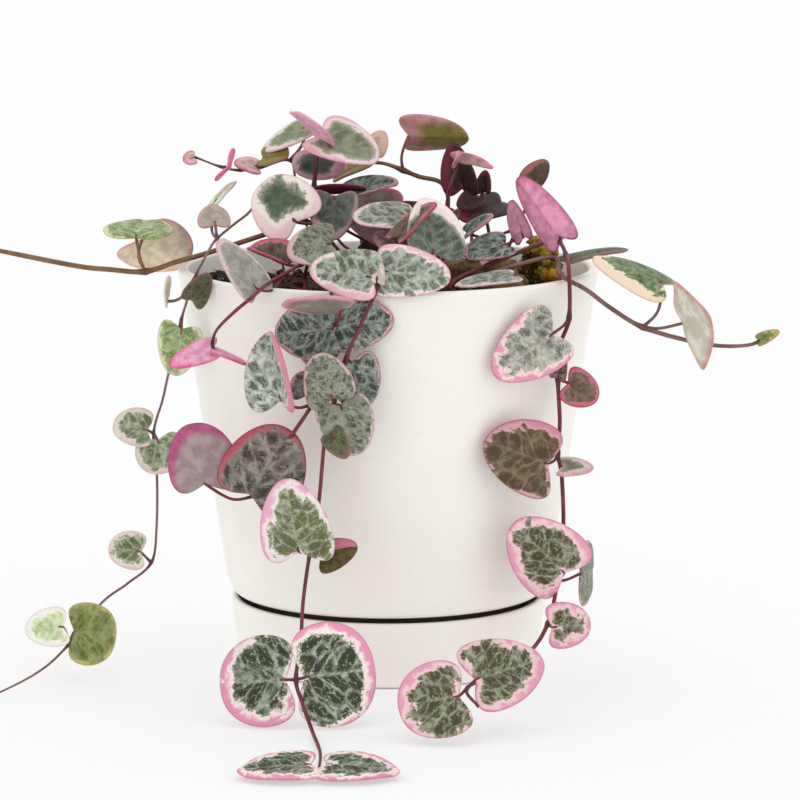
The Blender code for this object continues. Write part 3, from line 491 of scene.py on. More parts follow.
LEAF_LOOKS = {
    "bold": LeafLook(
        (64, 70, 40), (96, 98, 34), (84, 90, 70), (172, 180, 164), (232, 156, 184),
        (250, 234, 230), (178, 90, 116), (172, 150, 146), (220, 130, 158),
        1.8, 1.7, 1.5, 0.5, 0.92, 0.27, 0.9, 3.4, 0.4, 0.45, 1.2),
    "olive_bold": LeafLook(
        (82, 80, 48), (104, 98, 44), (96, 98, 74), (162, 166, 144), (228, 160, 184),
        (240, 204, 206), (186, 92, 120), (172, 150, 146), (220, 130, 158),
        1.7, 1.6, 1.3, 0.5, 0.88, 0.28, 0.9, 3.1, 0.45, 0.5, 1.2),
    "fresh": LeafLook(
        (108, 114, 76), (134, 134, 84), (128, 134, 104), (190, 196, 172), (240, 182, 208),
        (252, 240, 238), (214, 130, 150), (186, 168, 156), (230, 160, 176),
        1.6, 1.3, 1.2, 0.45, 0.75, 0.28, 0.7, 3.2, 0.35, 0.35, 1.2),
    "silver": LeafLook(
        (98, 104, 88), (112, 116, 96), (134, 140, 124), (190, 196, 184), (236, 188, 200),
        (246, 226, 222), (206, 130, 146), (168, 156, 150), (226, 160, 176),
        0.55, 1.2, 1.4, 0.8, 0.8, 0.42, 1.15, 3.1, 0.25, 0.8, 1.3),
    "silver_pink": LeafLook(
        (104, 106, 92), (126, 128, 106), (150, 150, 138), (202, 200, 190), (232, 158, 184),
        (248, 222, 218), (206, 110, 140), (176, 156, 152), (226, 140, 166),
        1.2, 1.8, 1.8, 0.85, 0.8, 0.45, 1.5, 2.8, 0.35, 0.9, 1.4),
    "fine_silver": LeafLook(
        (80, 84, 68), (100, 100, 78), (130, 132, 116), (172, 176, 160), (224, 184, 184),
        (228, 204, 196), (176, 110, 116), (150, 132, 126), (216, 140, 156),
        0.12, 0.5, 0.6, 0.85, 0.6, 0.26, 0.9, 2.0, 0.45, 1.5),
    "slate": LeafLook(
        (62, 72, 62), (74, 82, 68), (106, 114, 106), (174, 180, 172), (190, 130, 142),
        (214, 172, 174), (130, 76, 86), (132, 122, 116), (196, 116, 138),
        0.2, 0.6, 0.6, 0.65, 0.7, 0.34, 0.9, 2.8, 0.35, 0.6),
    "folded": LeafLook(
        (98, 106, 94), (114, 118, 102), (162, 168, 156), (212, 216, 206), (226, 150, 168),
        (240, 200, 200), (180, 100, 116), (196, 92, 124), (222, 120, 150),
        0.4, 0.8, 1.0, 0.75, 0.9, 0.45, 1.1, 2.8, 0.35, 0.6),
    "dusk": LeafLook(
        (72, 66, 56), (82, 76, 60), (108, 102, 92), (156, 152, 144), (176, 84, 104),
        (166, 106, 110), (112, 48, 62), (136, 110, 110), (176, 92, 116),
        0.7, 1.0, 1.0, 0.7, 0.75, 0.42, 1.3, 3.4, 0.6, 0.5, 2.0),
    "dusk_pink": LeafLook(
        (94, 76, 50), (98, 80, 52), (106, 94, 70), (150, 138, 118), (208, 140, 160),
        (214, 166, 168), (140, 66, 84), (150, 120, 118), (190, 104, 130),
        1.0, 1.6, 1.0, 0.4, 0.5, 0.34, 0.9, 3.6, 0.5, 0.4, 2.0),
    "ink": LeafLook(
        (70, 76, 68), (82, 86, 78), (102, 104, 96), (130, 134, 126), (172, 132, 140),
        (176, 144, 148), (120, 66, 84), (120, 92, 98), (168, 96, 120),
        0.9, 0.5, 0.9, 0.5, 0.35, 0.4, 1.3, 3.2, 0.4, 0.4, 4.0),
    "maroon": LeafLook(
        (62, 48, 45), (70, 52, 48), (76, 58, 54), (88, 68, 64), (122, 42, 68),
        (108, 50, 64), (80, 28, 44), (116, 46, 72), (140, 54, 84),
        0.35, 0.5, 0.6, 0.5, 0.3, 0.4, 1.4, 2.6, 0.5, 0.3, 2.0),
    "rose": LeafLook(
        (90, 76, 62), (104, 78, 66), (114, 96, 82), (146, 130, 114), (208, 92, 124),
        (196, 120, 132), (136, 44, 68), (140, 78, 88), (182, 84, 114),
        0.8, 1.1, 0.8, 0.5, 0.5, 0.4, 1.2, 2.6, 0.6, 0.4, 2.0),
    "mauve": LeafLook(
        (142, 118, 120), (150, 124, 128), (154, 134, 134), (168, 150, 148), (170, 104, 128),
        (164, 116, 130), (140, 60, 94), (162, 144, 144), (178, 90, 130),
        1.1, 0.5, 0.5, 0.5, 0.3, 0.4, 1.2, 3.4, 0.4, 0.3, 4.0),
    "grey": LeafLook(
        (150, 148, 138), (162, 158, 148), (168, 164, 156), (190, 186, 178), (232, 196, 202),
        (226, 210, 204), (204, 146, 158), (150, 146, 134), (230, 170, 182),
        0.55, 0.5, 0.5, 0.5, 0.35, 0.4, 1.4, 2.8, 0.3, 0.3, 2.5),
    "hot": LeafLook(
        (236, 158, 190), (240, 166, 196), (238, 170, 200), (240, 182, 206), (232, 106, 154),
        (236, 150, 184), (186, 70, 112), (252, 160, 196), (246, 118, 164),
        0.8, 0.5, 0.6, 0.5, 0.25, 0.4, 1.2, 3.0, 0.35, 0.2, 3.0),
    "blush": LeafLook(
        (196, 166, 156), (214, 182, 174), (214, 180, 174), (236, 214, 208), (230, 156, 172),
        (240, 198, 198), (196, 92, 116), (198, 156, 150), (222, 140, 158),
        0.9, 0.6, 0.8, 0.5, 0.35, 0.4, 1.2, 2.4, 0.5),
    "blush_green": LeafLook(
        (106, 112, 82), (142, 144, 114), (134, 140, 114), (162, 166, 144), (226, 174, 190),
        (238, 214, 210), (204, 120, 146), (200, 150, 164), (222, 150, 170),
        1.4, 0.7, 0.5, 0.6, 0.35, 0.45, 1.5, 3.8, 0.35, 0.3, 5.0),
    "cream": LeafLook(
        (80, 92, 70), (104, 116, 88), (92, 108, 84), (112, 126, 100), (240, 210, 212),
        (248, 234, 226), (206, 120, 140), (206, 150, 160), (214, 96, 130),
        2.2, 1.3, 0.5, 0.5, 0.35, 0.4, 1.6, 3.8, 0.35, 0.3, 6.0),
    "cream_green": LeafLook(
        (86, 104, 60), (116, 128, 80), (108, 124, 92), (166, 180, 150), (240, 216, 192),
        (242, 224, 198), (206, 160, 140), (226, 204, 180), (232, 184, 168),
        1.1, 1.8, 1.4, 0.5, 0.55, 0.36, 1.0, 3.0, 0.3, 0.5, 1.6),
    "leafy": LeafLook(
        (108, 120, 80), (132, 142, 94), (134, 146, 112), (196, 202, 178), (236, 214, 206),
        (244, 234, 224), (206, 160, 150), (178, 166, 142), (222, 190, 176),
        0.8, 1.2, 1.2, 0.5, 0.75, 0.4, 1.0, 3.3, 0.3, 0.5, 2.0),
    "lime": LeafLook(
        (110, 132, 66), (138, 158, 80), (148, 164, 108), (204, 212, 180), (214, 222, 160),
        (222, 226, 176), (176, 160, 110), (176, 168, 116), (200, 180, 140),
        0.45, 0.9, 0.9, 0.45, 0.65, 0.34, 0.9, 3.2, 0.3, 0.5, 1.6),
    "pale_lime": LeafLook(
        (176, 196, 132), (196, 212, 158), (204, 216, 176), (222, 230, 200), (236, 234, 222),
        (242, 240, 230), (214, 190, 176), (206, 210, 176), (228, 208, 196),
        1.2, 1.0, 0.8, 0.5, 0.5, 0.4, 1.2, 2.4, 0.3),
    "round_olive": LeafLook(
        (104, 116, 56), (122, 132, 72), (132, 142, 88), (164, 170, 124), (200, 190, 120),
        (190, 180, 112), (170, 120, 80), (150, 132, 88), (170, 120, 90),
        0.4, 0.6, 0.5, 0.5, 0.55, 0.34, 0.9, 2.2, 0.5, 0.45),
    "olive": LeafLook(
        (124, 116, 48), (138, 128, 58), (140, 130, 68), (156, 148, 90), (176, 128, 100),
        (158, 136, 84), (138, 88, 66), (134, 122, 52), (200, 144, 136),
        0.4, 0.5, 0.5, 0.5, 0.35, 0.35, 1.2, 3.0, 0.5, 0.3, 2.0),
    "dark_olive": LeafLook(
        (80, 82, 60), (90, 88, 62), (98, 100, 76), (132, 134, 110), (136, 104, 90),
        (128, 110, 88), (156, 92, 96), (112, 96, 78), (150, 100, 100),
        0.15, 0.3, 0.5, 0.5, 0.4, 0.3, 0.9, 2.2, 0.45, 0.4),
    "peach": LeafLook(
        (206, 184, 156), (212, 186, 162), (214, 192, 168), (222, 204, 182), (236, 184, 174),
        (230, 198, 180), (200, 130, 124), (228, 212, 186), (238, 192, 184),
        1.2, 0.4, 0.6, 0.4, 0.3, 0.35, 1.4, 3.2, 0.4, 0.3, 3.0),
    "dusty": LeafLook(
        (138, 110, 112), (146, 118, 120), (148, 124, 124), (168, 150, 148), (180, 128, 138),
        (186, 146, 148), (150, 84, 100), (152, 126, 128), (180, 116, 130),
        0.6, 0.5, 0.5, 0.5, 0.3, 0.4, 1.2, 3.4, 0.4, 0.3, 3.0),
    "pink": LeafLook(
        (232, 166, 190), (236, 176, 196), (234, 180, 198), (244, 206, 216), (238, 158, 186),
        (242, 192, 208), (202, 112, 140), (242, 182, 202), (240, 188, 206),
        0.8, 0.5, 0.6, 0.5, 0.25, 0.4, 1.2, 3.0, 0.4, 0.2, 3.0),
    "plum_edged": LeafLook(
        (226, 150, 184), (230, 158, 188), (230, 164, 190), (240, 186, 206), (216, 130, 166),
        (228, 154, 184), (128, 50, 80), (236, 160, 192), (216, 128, 162),
        0.6, 0.5, 0.6, 0.5, 0.25, 0.4, 1.2, 3.0, 0.7, 0.2, 3.0),
    "slate_pink": LeafLook(
        (84, 98, 90), (104, 114, 100), (112, 124, 112), (136, 146, 134), (224, 168, 192),
        (236, 200, 210), (196, 110, 140), (200, 150, 164), (222, 150, 170),
        1.6, 0.6, 0.5, 0.6, 0.3, 0.45, 1.5, 3.6, 0.35, 0.3, 5.0),
    "two_tone": LeafLook(
        (84, 72, 30), (96, 84, 34), (96, 86, 48), (120, 110, 70), (196, 122, 142),
        (204, 136, 150), (130, 60, 76), (120, 90, 60), (170, 96, 112),
        0.5, 0.3, 0.6, 0.4, 0.3, 0.3, 0.9, 2.6, 0.5, 0.3, 2.0),
    "olive_arch": LeafLook(
        (128, 122, 54), (140, 132, 64), (142, 134, 74), (160, 152, 98), (196, 140, 130),
        (176, 150, 110), (150, 92, 76), (154, 146, 84), (230, 172, 174),
        0.5, 0.5, 0.5, 0.4, 0.35, 0.35, 1.2, 3.2, 0.4, 0.3, 8.0),
    "pale_soft": LeafLook(
        (132, 142, 104), (164, 170, 138), (150, 158, 128), (176, 182, 158), (234, 204, 210),
        (244, 230, 226), (206, 140, 160), (206, 200, 186), (228, 194, 200),
        1.0, 0.8, 1.2, 0.5, 0.3, 0.4, 1.4, 3.4, 0.3, 0.3, 3.5),
    "blush_grey": LeafLook(
        (170, 158, 142), (180, 166, 150), (178, 166, 152), (190, 180, 168), (200, 160, 156),
        (198, 168, 162), (170, 110, 116), (180, 160, 148), (204, 150, 150),
        0.5, 0.4, 0.6, 0.4, 0.3, 0.4, 1.2, 2.6, 0.5, 0.3, 3.0),
    "brown": LeafLook(
        (82, 70, 54), (92, 78, 60), (94, 82, 66), (112, 98, 80), (168, 108, 102),
        (150, 112, 98), (100, 56, 54), (120, 90, 80), (170, 100, 104),
        0.5, 0.5, 0.6, 0.5, 0.4, 0.3, 1.0, 2.6, 0.5, 0.4, 2.5),
    "lens": LeafLook(
        (206, 202, 182), (214, 206, 188), (216, 210, 194), (224, 218, 204), (222, 176, 168),
        (230, 204, 192), (160, 96, 88), (228, 224, 204), (226, 178, 170),
        0.6, 0.4, 0.6, 0.4, 0.3, 0.35, 1.2, 3.2, 0.5, 0.2, 3.0),
    "cream_grey": LeafLook(
        (84, 92, 80), (132, 138, 124), (108, 114, 102), (152, 160, 148), (250, 236, 232),
        (246, 238, 230), (206, 150, 156), (206, 150, 160), (214, 120, 146),
        1.3, 0.6, 0.5, 0.7, 0.5, 0.4, 1.3, 3.0, 0.3, 0.8, 6.0),
    "soft_lime": LeafLook(
        (128, 150, 88), (152, 168, 104), (148, 166, 114), (192, 204, 170), (218, 222, 180),
        (226, 228, 192), (180, 170, 124), (176, 168, 116), (200, 180, 140),
        0.5, 1.0, 0.9, 0.5, 0.6, 0.36, 1.0, 3.2, 0.3, 0.5, 2.0),
    "bud": LeafLook(
        (222, 208, 196), (228, 214, 202), (226, 214, 204), (234, 224, 214), (228, 190, 190),
        (232, 210, 202), (190, 130, 136), (214, 196, 184), (226, 176, 180),
        0.3, 0.3, 0.5, 0.4, 0.3, 0.3, 1.0, 2.6, 0.4, 0.3, 3.0),
    "under": LeafLook(
        (146, 140, 128), (152, 144, 132), (158, 152, 140), (172, 166, 154), (222, 160, 170),
        (220, 176, 178), (200, 116, 134), (144, 137, 126), (226, 156, 170),
        0.3, 0.2, 0.4, 0.5, 0.3, 0.35, 1.2, 3.0, 0.4, 0.3, 3.0),
}

# A stem's skin, its lit skin and its joints
STEM_COLOURS = {
    "maroon": ((96, 36, 50), (134, 56, 70), (66, 26, 36)),
    "grey": ((112, 84, 80), (138, 106, 98), (86, 44, 48)),
    "brown": ((116, 84, 58), (142, 110, 80), (92, 52, 42)),
}


def linear(colour):
    """A screen colour, from 0 to 255, as the renderer's own values."""
    values = []
    for part in colour:
        share = part / 255
        values.append(share / 12.92 if share <= 0.04045 else ((share + 0.055) / 1.055) ** 2.4)
    return (*values, 1.0)


def leaf_tone(colour):
    """A leaf colour as seen in studio light, with that light's own sheen taken off."""
    toned = [max(part - LEAF_SHEEN, part * DARKEST_SHARE) for part in linear(colour)[:3]]
    return (*toned, 1.0)


def millimetres(point):
    """A point given in millimetres, in metres."""
    return Vector(point) * MM


# Settings of the pot, the soil, the plant and the stage


class PotSettings(bpy.types.PropertyGroup):
    """Sizes and colours of the pot and its saucer."""

    rim_radius: bpy.props.FloatProperty(
        name="Rim radius", description="Radius of the pot's rim in metres",
        default=0.051, subtype="DISTANCE", unit="LENGTH")
    rim_height: bpy.props.FloatProperty(
        name="Rim height", description="Height of the pot's rim above the ground in metres",
        default=0.097, subtype="DISTANCE", unit="LENGTH")
    saucer_radius: bpy.props.FloatProperty(
        name="Saucer radius", description="Radius of the saucer's lip in metres",
        default=0.0385, subtype="DISTANCE", unit="LENGTH")
    saucer_height: bpy.props.FloatProperty(
        name="Saucer height", description="Height of the saucer's lip in metres",
        default=0.0162, subtype="DISTANCE", unit="LENGTH")
    glaze: bpy.props.FloatVectorProperty(
        name="Glaze", description="Colour of the glaze", subtype="COLOR", size=4,
        min=0, max=1, default=linear((246, 243, 236)))
    glaze_shade: bpy.props.FloatVectorProperty(
        name="Glaze shade", description="Colour of the glaze where it lies thicker",
        subtype="COLOR", size=4, min=0, max=1, default=linear((243, 239, 232)))


class SoilSettings(bpy.types.PropertyGroup):
    """Colours and amounts of the potting mix, the tubers and the moss."""

    soil: bpy.props.FloatVectorProperty(
        name="Soil", description="Colour of the damp potting mix", subtype="COLOR", size=4,
        min=0, max=1, default=linear((52, 36, 24)))
    bark: bpy.props.FloatVectorProperty(
        name="Bark", description="Colour of the bark chips and fibres", subtype="COLOR",
        size=4, min=0, max=1, default=linear((112, 72, 44)))
    moss: bpy.props.FloatVectorProperty(
        name="Moss", description="Colour of the moss", subtype="COLOR", size=4,
        min=0, max=1, default=linear((170, 152, 44)))
    tuber: bpy.props.FloatVectorProperty(
        name="Tuber skin", description="Colour of the tubers' skin", subtype="COLOR", size=4,
        min=0, max=1, default=linear((148, 124, 66)))
    crumbs: bpy.props.IntProperty(
        name="Crumbs", description="Number of crumbs on the soil", default=420, min=0)
    clods: bpy.props.IntProperty(
        name="Clods", description="Number of larger clods on the soil", default=60, min=0)
    chips: bpy.props.IntProperty(
        name="Bark chips", description="Number of bark chips on the soil", default=90, min=0)
    fibres: bpy.props.IntProperty(
        name="Fibres", description="Number of fibres on the soil", default=90, min=0)
    pearls: bpy.props.IntProperty(
        name="Pale grit", description="Number of pale grains on the soil", default=36, min=0)
    cushions: bpy.props.IntProperty(
        name="Moss cushions", description="Number of round cushions on the moss", default=54, min=0)
    tufts: bpy.props.IntProperty(
        name="Moss tufts", description="Number of tufts on the moss", default=130, min=0)


class PlantSettings(bpy.types.PropertyGroup):
    """Sizes and colours of the stems and leaves."""

    leaf_thickness: bpy.props.FloatProperty(
        name="Leaf thickness", description="Thickness of a leaf's middle in metres",
        default=0.0009, subtype="DISTANCE", unit="LENGTH")
    waviness: bpy.props.FloatProperty(
        name="Waviness", description="How far a leaf's margin waves, as a share of its width",
        default=0.035, min=0, max=0.2, subtype="FACTOR")
    tint: bpy.props.FloatProperty(
        name="Leaf to leaf change", description="How much leaves differ in brightness",
        default=0.16, min=0, max=1, subtype="FACTOR")


class StageSettings(bpy.types.PropertyGroup):
    """The floor, the light and the camera."""

    floor: bpy.props.FloatVectorProperty(
        name="Floor", description="Colour of the floor", subtype="COLOR", size=4,
        min=0, max=1, default=linear((188, 188, 189)))
    sky: bpy.props.FloatProperty(
        name="Room light", description="Strength of the light from all sides", default=1.02,
        min=0)
    key: bpy.props.FloatProperty(
        name="Key light", description="Strength of the large light at the front left",
        default=9.0, min=0, unit="POWER")
    glow: bpy.props.FloatProperty(
        name="Floor glow", description="Light given off by the floor, which softens its shadows",
        default=0.46, min=0)
    lens: bpy.props.FloatProperty(
        name="Lens", description="Focal length of the camera", default=202.05, min=1,
        unit="CAMERA")


SETTINGS = {
    "heart_pot": PotSettings,
    "heart_soil": SoilSettings,
    "heart_plant": PlantSettings,
    "heart_stage": StageSettings,
}


# Shader nodes and materials


def add_node(tree, kind, inputs=None, **settings):
    """A shader node with its settings and its inputs, which are values or other sockets."""
    made = tree.nodes.new(kind)
    for key, value in settings.items():
        setattr(made, key, value)
    for key, value in (inputs or {}).items():
        if isinstance(value, bpy.types.NodeSocket):
            tree.links.new(value, made.inputs[key])
        else:
            made.inputs[key].default_value = value
    return made


def maths(tree, operation, first, second=0.0, third=0.0):
    """The result of a maths node."""
    made = add_node(
        tree, "ShaderNodeMath", {0: first, 1: second, 2: third}, operation=operation)
    return made.outputs[0]


def blend(tree, factor, first, second, way="MIX"):
    """Two colours mixed."""
    made = add_node(
        tree, "ShaderNodeMix", {0: factor, 6: first, 7: second}, data_type="RGBA",
        blend_type=way, clamp_factor=True)
    return made.outputs[2]


def fade(tree, value, start, end, low=0.0, high=1.0):
    """A smooth step: low before start and high after end."""
    made = add_node(
        tree, "ShaderNodeMapRange",
        {"Value": value, "From Min": start, "From Max": end, "To Min": low, "To Max": high},
        interpolation_type="SMOOTHSTEP")
    return made.outputs["Result"]


def grain(tree, place, scale, detail=2.0, roughness=0.5):
    """A noise texture's value."""
    made = add_node(
        tree, "ShaderNodeTexNoise",
        {"Vector": place, "Scale": scale, "Detail": detail, "Roughness": roughness})
    return made.outputs["Fac"]


FLOAT = "NodeSocketFloat"
COLOUR = "NodeSocketColor"


def new_group(name, inputs, outputs):
    """A shader node group with its sockets; its input and output nodes are returned too."""
    tree = bpy.data.node_groups.new(name, "ShaderNodeTree")
    for label, value in inputs.items():
        colour = isinstance(value, tuple)
        socket = tree.interface.new_socket(
            label, in_out="INPUT", socket_type=COLOUR if colour else FLOAT)
        socket.default_value = value
    for label, kind in outputs.items():
        tree.interface.new_socket(label, in_out="OUTPUT", socket_type=kind)
    return tree, tree.nodes.new("NodeGroupInput"), tree.nodes.new("NodeGroupOutput")


def surface_group():
    """Mottled colour, roughness and fine relief for glaze, soil, bark, tubers and stems."""
    tree, given, out = new_group(
        "mottled surface",
        {"Colour": (0.8, 0.8, 0.8, 1), "Shade": (0.6, 0.6, 0.6, 1), "Fleck": (0.5, 0.5, 0.5, 1),
         "Mottle scale": 60.0, "Fleck scale": 900.0, "Fleck amount": 0.3,
         "Roughness low": 0.3, "Roughness high": 0.5, "Relief scale": 500.0},
        {"Colour": COLOUR, "Roughness": FLOAT, "Height": FLOAT})
    place = add_node(tree, "ShaderNodeTexCoord").outputs["Object"]
    wide = grain(tree, place, given.outputs["Mottle scale"], 4.0, 0.6)
    cloud = fade(tree, wide, 0.34, 0.66)
    fine = grain(tree, place, given.outputs["Fleck scale"], 2.0, 0.6)
    fleck = maths(tree, "MULTIPLY", fade(tree, fine, 0.56, 0.7), given.outputs["Fleck amount"])
    colour = blend(tree, cloud, given.outputs["Colour"], given.outputs["Shade"])
    colour = blend(tree, fleck, colour, given.outputs["Fleck"])
    relief = grain(tree, place, given.outputs["Relief scale"], 3.0, 0.55)
    height = maths(tree, "MULTIPLY_ADD", wide, 0.6, relief)
    rough = fade(tree, maths(tree, "MULTIPLY_ADD", fine, 0.5, wide), 0.55, 0.95,
                 given.outputs["Roughness low"], given.outputs["Roughness high"])
    tree.links.new(colour, out.inputs["Colour"])
    tree.links.new(rough, out.inputs["Roughness"])
    tree.links.new(height, out.inputs["Height"])
    return tree


def leaf_group():
    """Where a leaf's border, pale net, midrib, speckles and patches lie, in millimetres on it."""
    tree, given, out = new_group(
        "leaf marks",
        {"Border width": 1.0, "Border wander": 0.8, "Fringe width": 0.8, "Line width": 0.45,
         "Halo width": 1.2, "Cell": 3.0, "Grit": 0.4, "Softness": 1.0},
        {label: FLOAT for label in (
            "Border", "Pale", "Edge", "Fringe", "Net", "Halo", "Outer", "Cloud", "Tint",
            "Upper", "Under rim", "Height")})
    named = {name: add_node(tree, "ShaderNodeAttribute", attribute_name=name)
             for name in ("place", "rim", "depth", "upper")}
    place = named["place"].outputs["Vector"]
    rim, depth, upper = (named[name].outputs["Fac"] for name in ("rim", "depth", "upper"))
    across, along, seed = add_node(tree, "ShaderNodeSeparateXYZ", {0: place}).outputs
    away = maths(tree, "ABSOLUTE", across)
    side = maths(tree, "SIGN", across)
    cloud = grain(tree, place, 0.3, 3.0, 0.6)
    fine = maths(tree, "SUBTRACT", grain(tree, place, 1.9, 2.0, 0.6), 0.5)
    finest = maths(tree, "SUBTRACT", grain(tree, place, 4.4, 1.0, 0.5), 0.5)
    # Patches lean outward from the midrib, and differ on the two sides
    lean = maths(tree, "MULTIPLY_ADD", away, -0.55, along)
    layer = maths(tree, "MULTIPLY_ADD", side, 2.3, seed)
    spot = add_node(
        tree, "ShaderNodeCombineXYZ",
        {0: maths(tree, "MULTIPLY", away, 0.72), 1: lean, 2: layer}).outputs[0]
    for scale, reach in ((0.35, 1.6), (1.3, 0.7)):
        warp = add_node(
            tree, "ShaderNodeTexNoise", {"Vector": place, "Scale": scale, "Detail": 2.0})
        warp = add_node(
            tree, "ShaderNodeVectorMath", {0: warp.outputs["Color"], 1: (0.5, 0.5, 0.5)},
            operation="SUBTRACT").outputs[0]
        spot = add_node(
            tree, "ShaderNodeVectorMath", {0: warp, 1: (reach, reach, 0.0), 2: spot},
            operation="MULTIPLY_ADD").outputs[0]
    size = given.outputs["Cell"]
    walls = []
    for share in (1.0, 0.45):
        wide = maths(tree, "MULTIPLY", size, share)
        wall = add_node(
            tree, "ShaderNodeTexVoronoi",
            {"Vector": spot, "Scale": maths(tree, "DIVIDE", 1.0, wide), "Randomness": 0.85},
            feature="DISTANCE_TO_EDGE").outputs["Distance"]
        walls.append(maths(tree, "MULTIPLY", wall, wide))
    cells = add_node(
        tree, "ShaderNodeTexVoronoi",
        {"Vector": spot, "Scale": maths(tree, "DIVIDE", 1.0, size), "Randomness": 0.85})
    cell = add_node(tree, "ShaderNodeSeparateColor", {0: cells.outputs["Color"]}).outputs[0]
    cell = maths(tree, "SUBTRACT", cell, 0.5)
    # Pale net: the midrib and the walls of the patches, thinner and fainter in places
    rib = maths(tree, "ABSOLUTE", maths(tree, "MULTIPLY_ADD", fine, 0.8, across))
    near = maths(tree, "MINIMUM", walls[0], maths(tree, "MULTIPLY", rib, 0.8))
    near = maths(tree, "MULTIPLY_ADD", finest, 0.5, maths(tree, "MULTIPLY_ADD", fine, 0.3, near))
    broad = maths(tree, "MULTIPLY", given.outputs["Line width"],
                  fade(tree, cloud, 0.35, 0.65, 0.6, 1.5))
    line = fade(tree, near, maths(tree, "MULTIPLY", broad, 0.3), broad, 1.0, 0.0)
    gaps = grain(tree, place, 0.75, 1.0, 0.5)
    line = maths(tree, "MULTIPLY", line, fade(tree, gaps, 0.36, 0.58, 0.3, 1.0))
    twig = fade(tree, maths(tree, "MULTIPLY_ADD", finest, 0.2, walls[1]), 0.03, 0.2, 0.7, 0.0)
    twig = maths(tree, "MULTIPLY", twig, fade(tree, maths(tree, "ADD", cloud, fine), 0.42, 0.6))
    halo = fade(tree, near, 0.15, given.outputs["Halo width"], 1.0, 0.0)
    grit = maths(tree, "MULTIPLY", maths(tree, "ADD", fine, finest), given.outputs["Grit"])
    rough_halo = fade(tree, maths(tree, "MULTIPLY_ADD", grit, 3.0, halo), 0.1, 0.9)
    stipple = fade(tree, maths(tree, "MULTIPLY_ADD", halo, 0.22, finest), 0.22, 0.36)
    stipple = maths(tree, "MULTIPLY", stipple,
                    maths(tree, "MULTIPLY_ADD", given.outputs["Grit"], 0.8, 0.3))
    net = maths(tree, "MAXIMUM", line, maths(tree, "MAXIMUM", twig, stipple))
    # Border: wider and narrower patch by patch, paler inside, with a speckled fringe
    width = given.outputs["Border width"]
    soft = given.outputs["Softness"]
    shift = maths(tree, "MULTIPLY_ADD", maths(tree, "SUBTRACT", cloud, 0.5), 3.2,
                  maths(tree, "MULTIPLY", cell, 1.1))
    within = maths(tree, "MULTIPLY_ADD", shift, given.outputs["Border wander"], depth)
    ragged = maths(tree, "MULTIPLY_ADD", maths(tree, "ADD", fine, finest), 1.25, within)
    blur = maths(tree, "MULTIPLY", soft, 0.3)
    border = fade(tree, ragged, maths(tree, "SUBTRACT", width, blur),
                  maths(tree, "ADD", width, blur), 1.0, 0.0)
    pale = fade(tree, maths(tree, "MULTIPLY_ADD", fine, 0.5, within), 0.0,
                maths(tree, "MULTIPLY", width, 0.8))
    close = fade(tree, within, width, maths(tree, "ADD", width, given.outputs["Fringe width"]),
                 1.0, 0.0)
    fringe = fade(tree, maths(tree, "MULTIPLY_ADD", close, 0.45, finest), 0.3, 0.46)
    outer = fade(tree, within, width, maths(tree, "ADD", width, 1.8), 1.0, 0.0)
    height = maths(tree, "MULTIPLY_ADD", halo, -0.5, maths(
        tree, "MULTIPLY_ADD", finest, 0.5, maths(tree, "MULTIPLY_ADD", line, 0.25, fine)))
    values = {
        "Border": border, "Pale": pale, "Fringe": fringe, "Net": net, "Halo": rough_halo,
        "Edge": fade(tree, rim, 0.0, 0.34, 1.0, 0.0), "Outer": outer,
        "Cloud": fade(tree, cloud, 0.36, 0.64), "Upper": upper,
        "Under rim": fade(tree, maths(tree, "MULTIPLY_ADD", fine, 0.6, depth), 0.2,
                          maths(tree, "MULTIPLY_ADD", soft, 0.4, 0.9), 1.0, 0.0),
        "Tint": add_node(tree, "ShaderNodeTexWhiteNoise", {"W": seed},
                         noise_dimensions="1D").outputs["Value"],
        "Height": height}
    for label, value in values.items():
        tree.links.new(value, out.inputs[label])
    return tree


def even_grey(tree, value):
    """A value as a grey colour, to darken or lighten another colour with."""
    return add_node(tree, "ShaderNodeCombineColor", {0: value, 1: value, 2: value}).outputs[0]


def group_node(tree, name, inputs):
    """A shared shader group placed in a material, with its own values."""
    made = tree.nodes.new("ShaderNodeGroup")
    made.node_tree = bpy.data.node_groups[name]
    for label, value in inputs.items():
        made.inputs[label].default_value = value
    return made


def new_material(name):
    """A material with only its Principled shader and output."""
    material = bpy.data.materials.new(name)
    material.use_nodes = True
    return material, material.node_tree, material.node_tree.nodes["Principled BSDF"]


def connect_surface(tree, shader, colour, rough, height, depth):
    """Feed a material's shader its colour, its roughness and a relief of a depth in metres."""
    bump = add_node(tree, "ShaderNodeBump", {
        "Strength": 1.0, "Distance": depth, "Height": height})
    tree.links.new(colour, shader.inputs["Base Color"])
    tree.links.new(rough, shader.inputs["Roughness"])
    tree.links.new(bump.outputs["Normal"], shader.inputs["Normal"])


def surface_material(name, colour, shade, fleck, rough, scales, flecks, relief, specular=0.5):
    """A mottled material; scales are those of its clouds, its flecks and its relief."""
    material, tree, shader = new_material(name)
    marks = group_node(tree, "mottled surface", {
        "Colour": colour, "Shade": shade, "Fleck": fleck, "Mottle scale": scales[0],
        "Fleck scale": scales[1], "Relief scale": scales[2], "Fleck amount": flecks,
        "Roughness low": rough[0], "Roughness high": rough[1]}).outputs
    connect_surface(tree, shader, marks["Colour"], marks["Roughness"], marks["Height"], relief)
    shader.inputs["Specular IOR Level"].default_value = specular
    return material


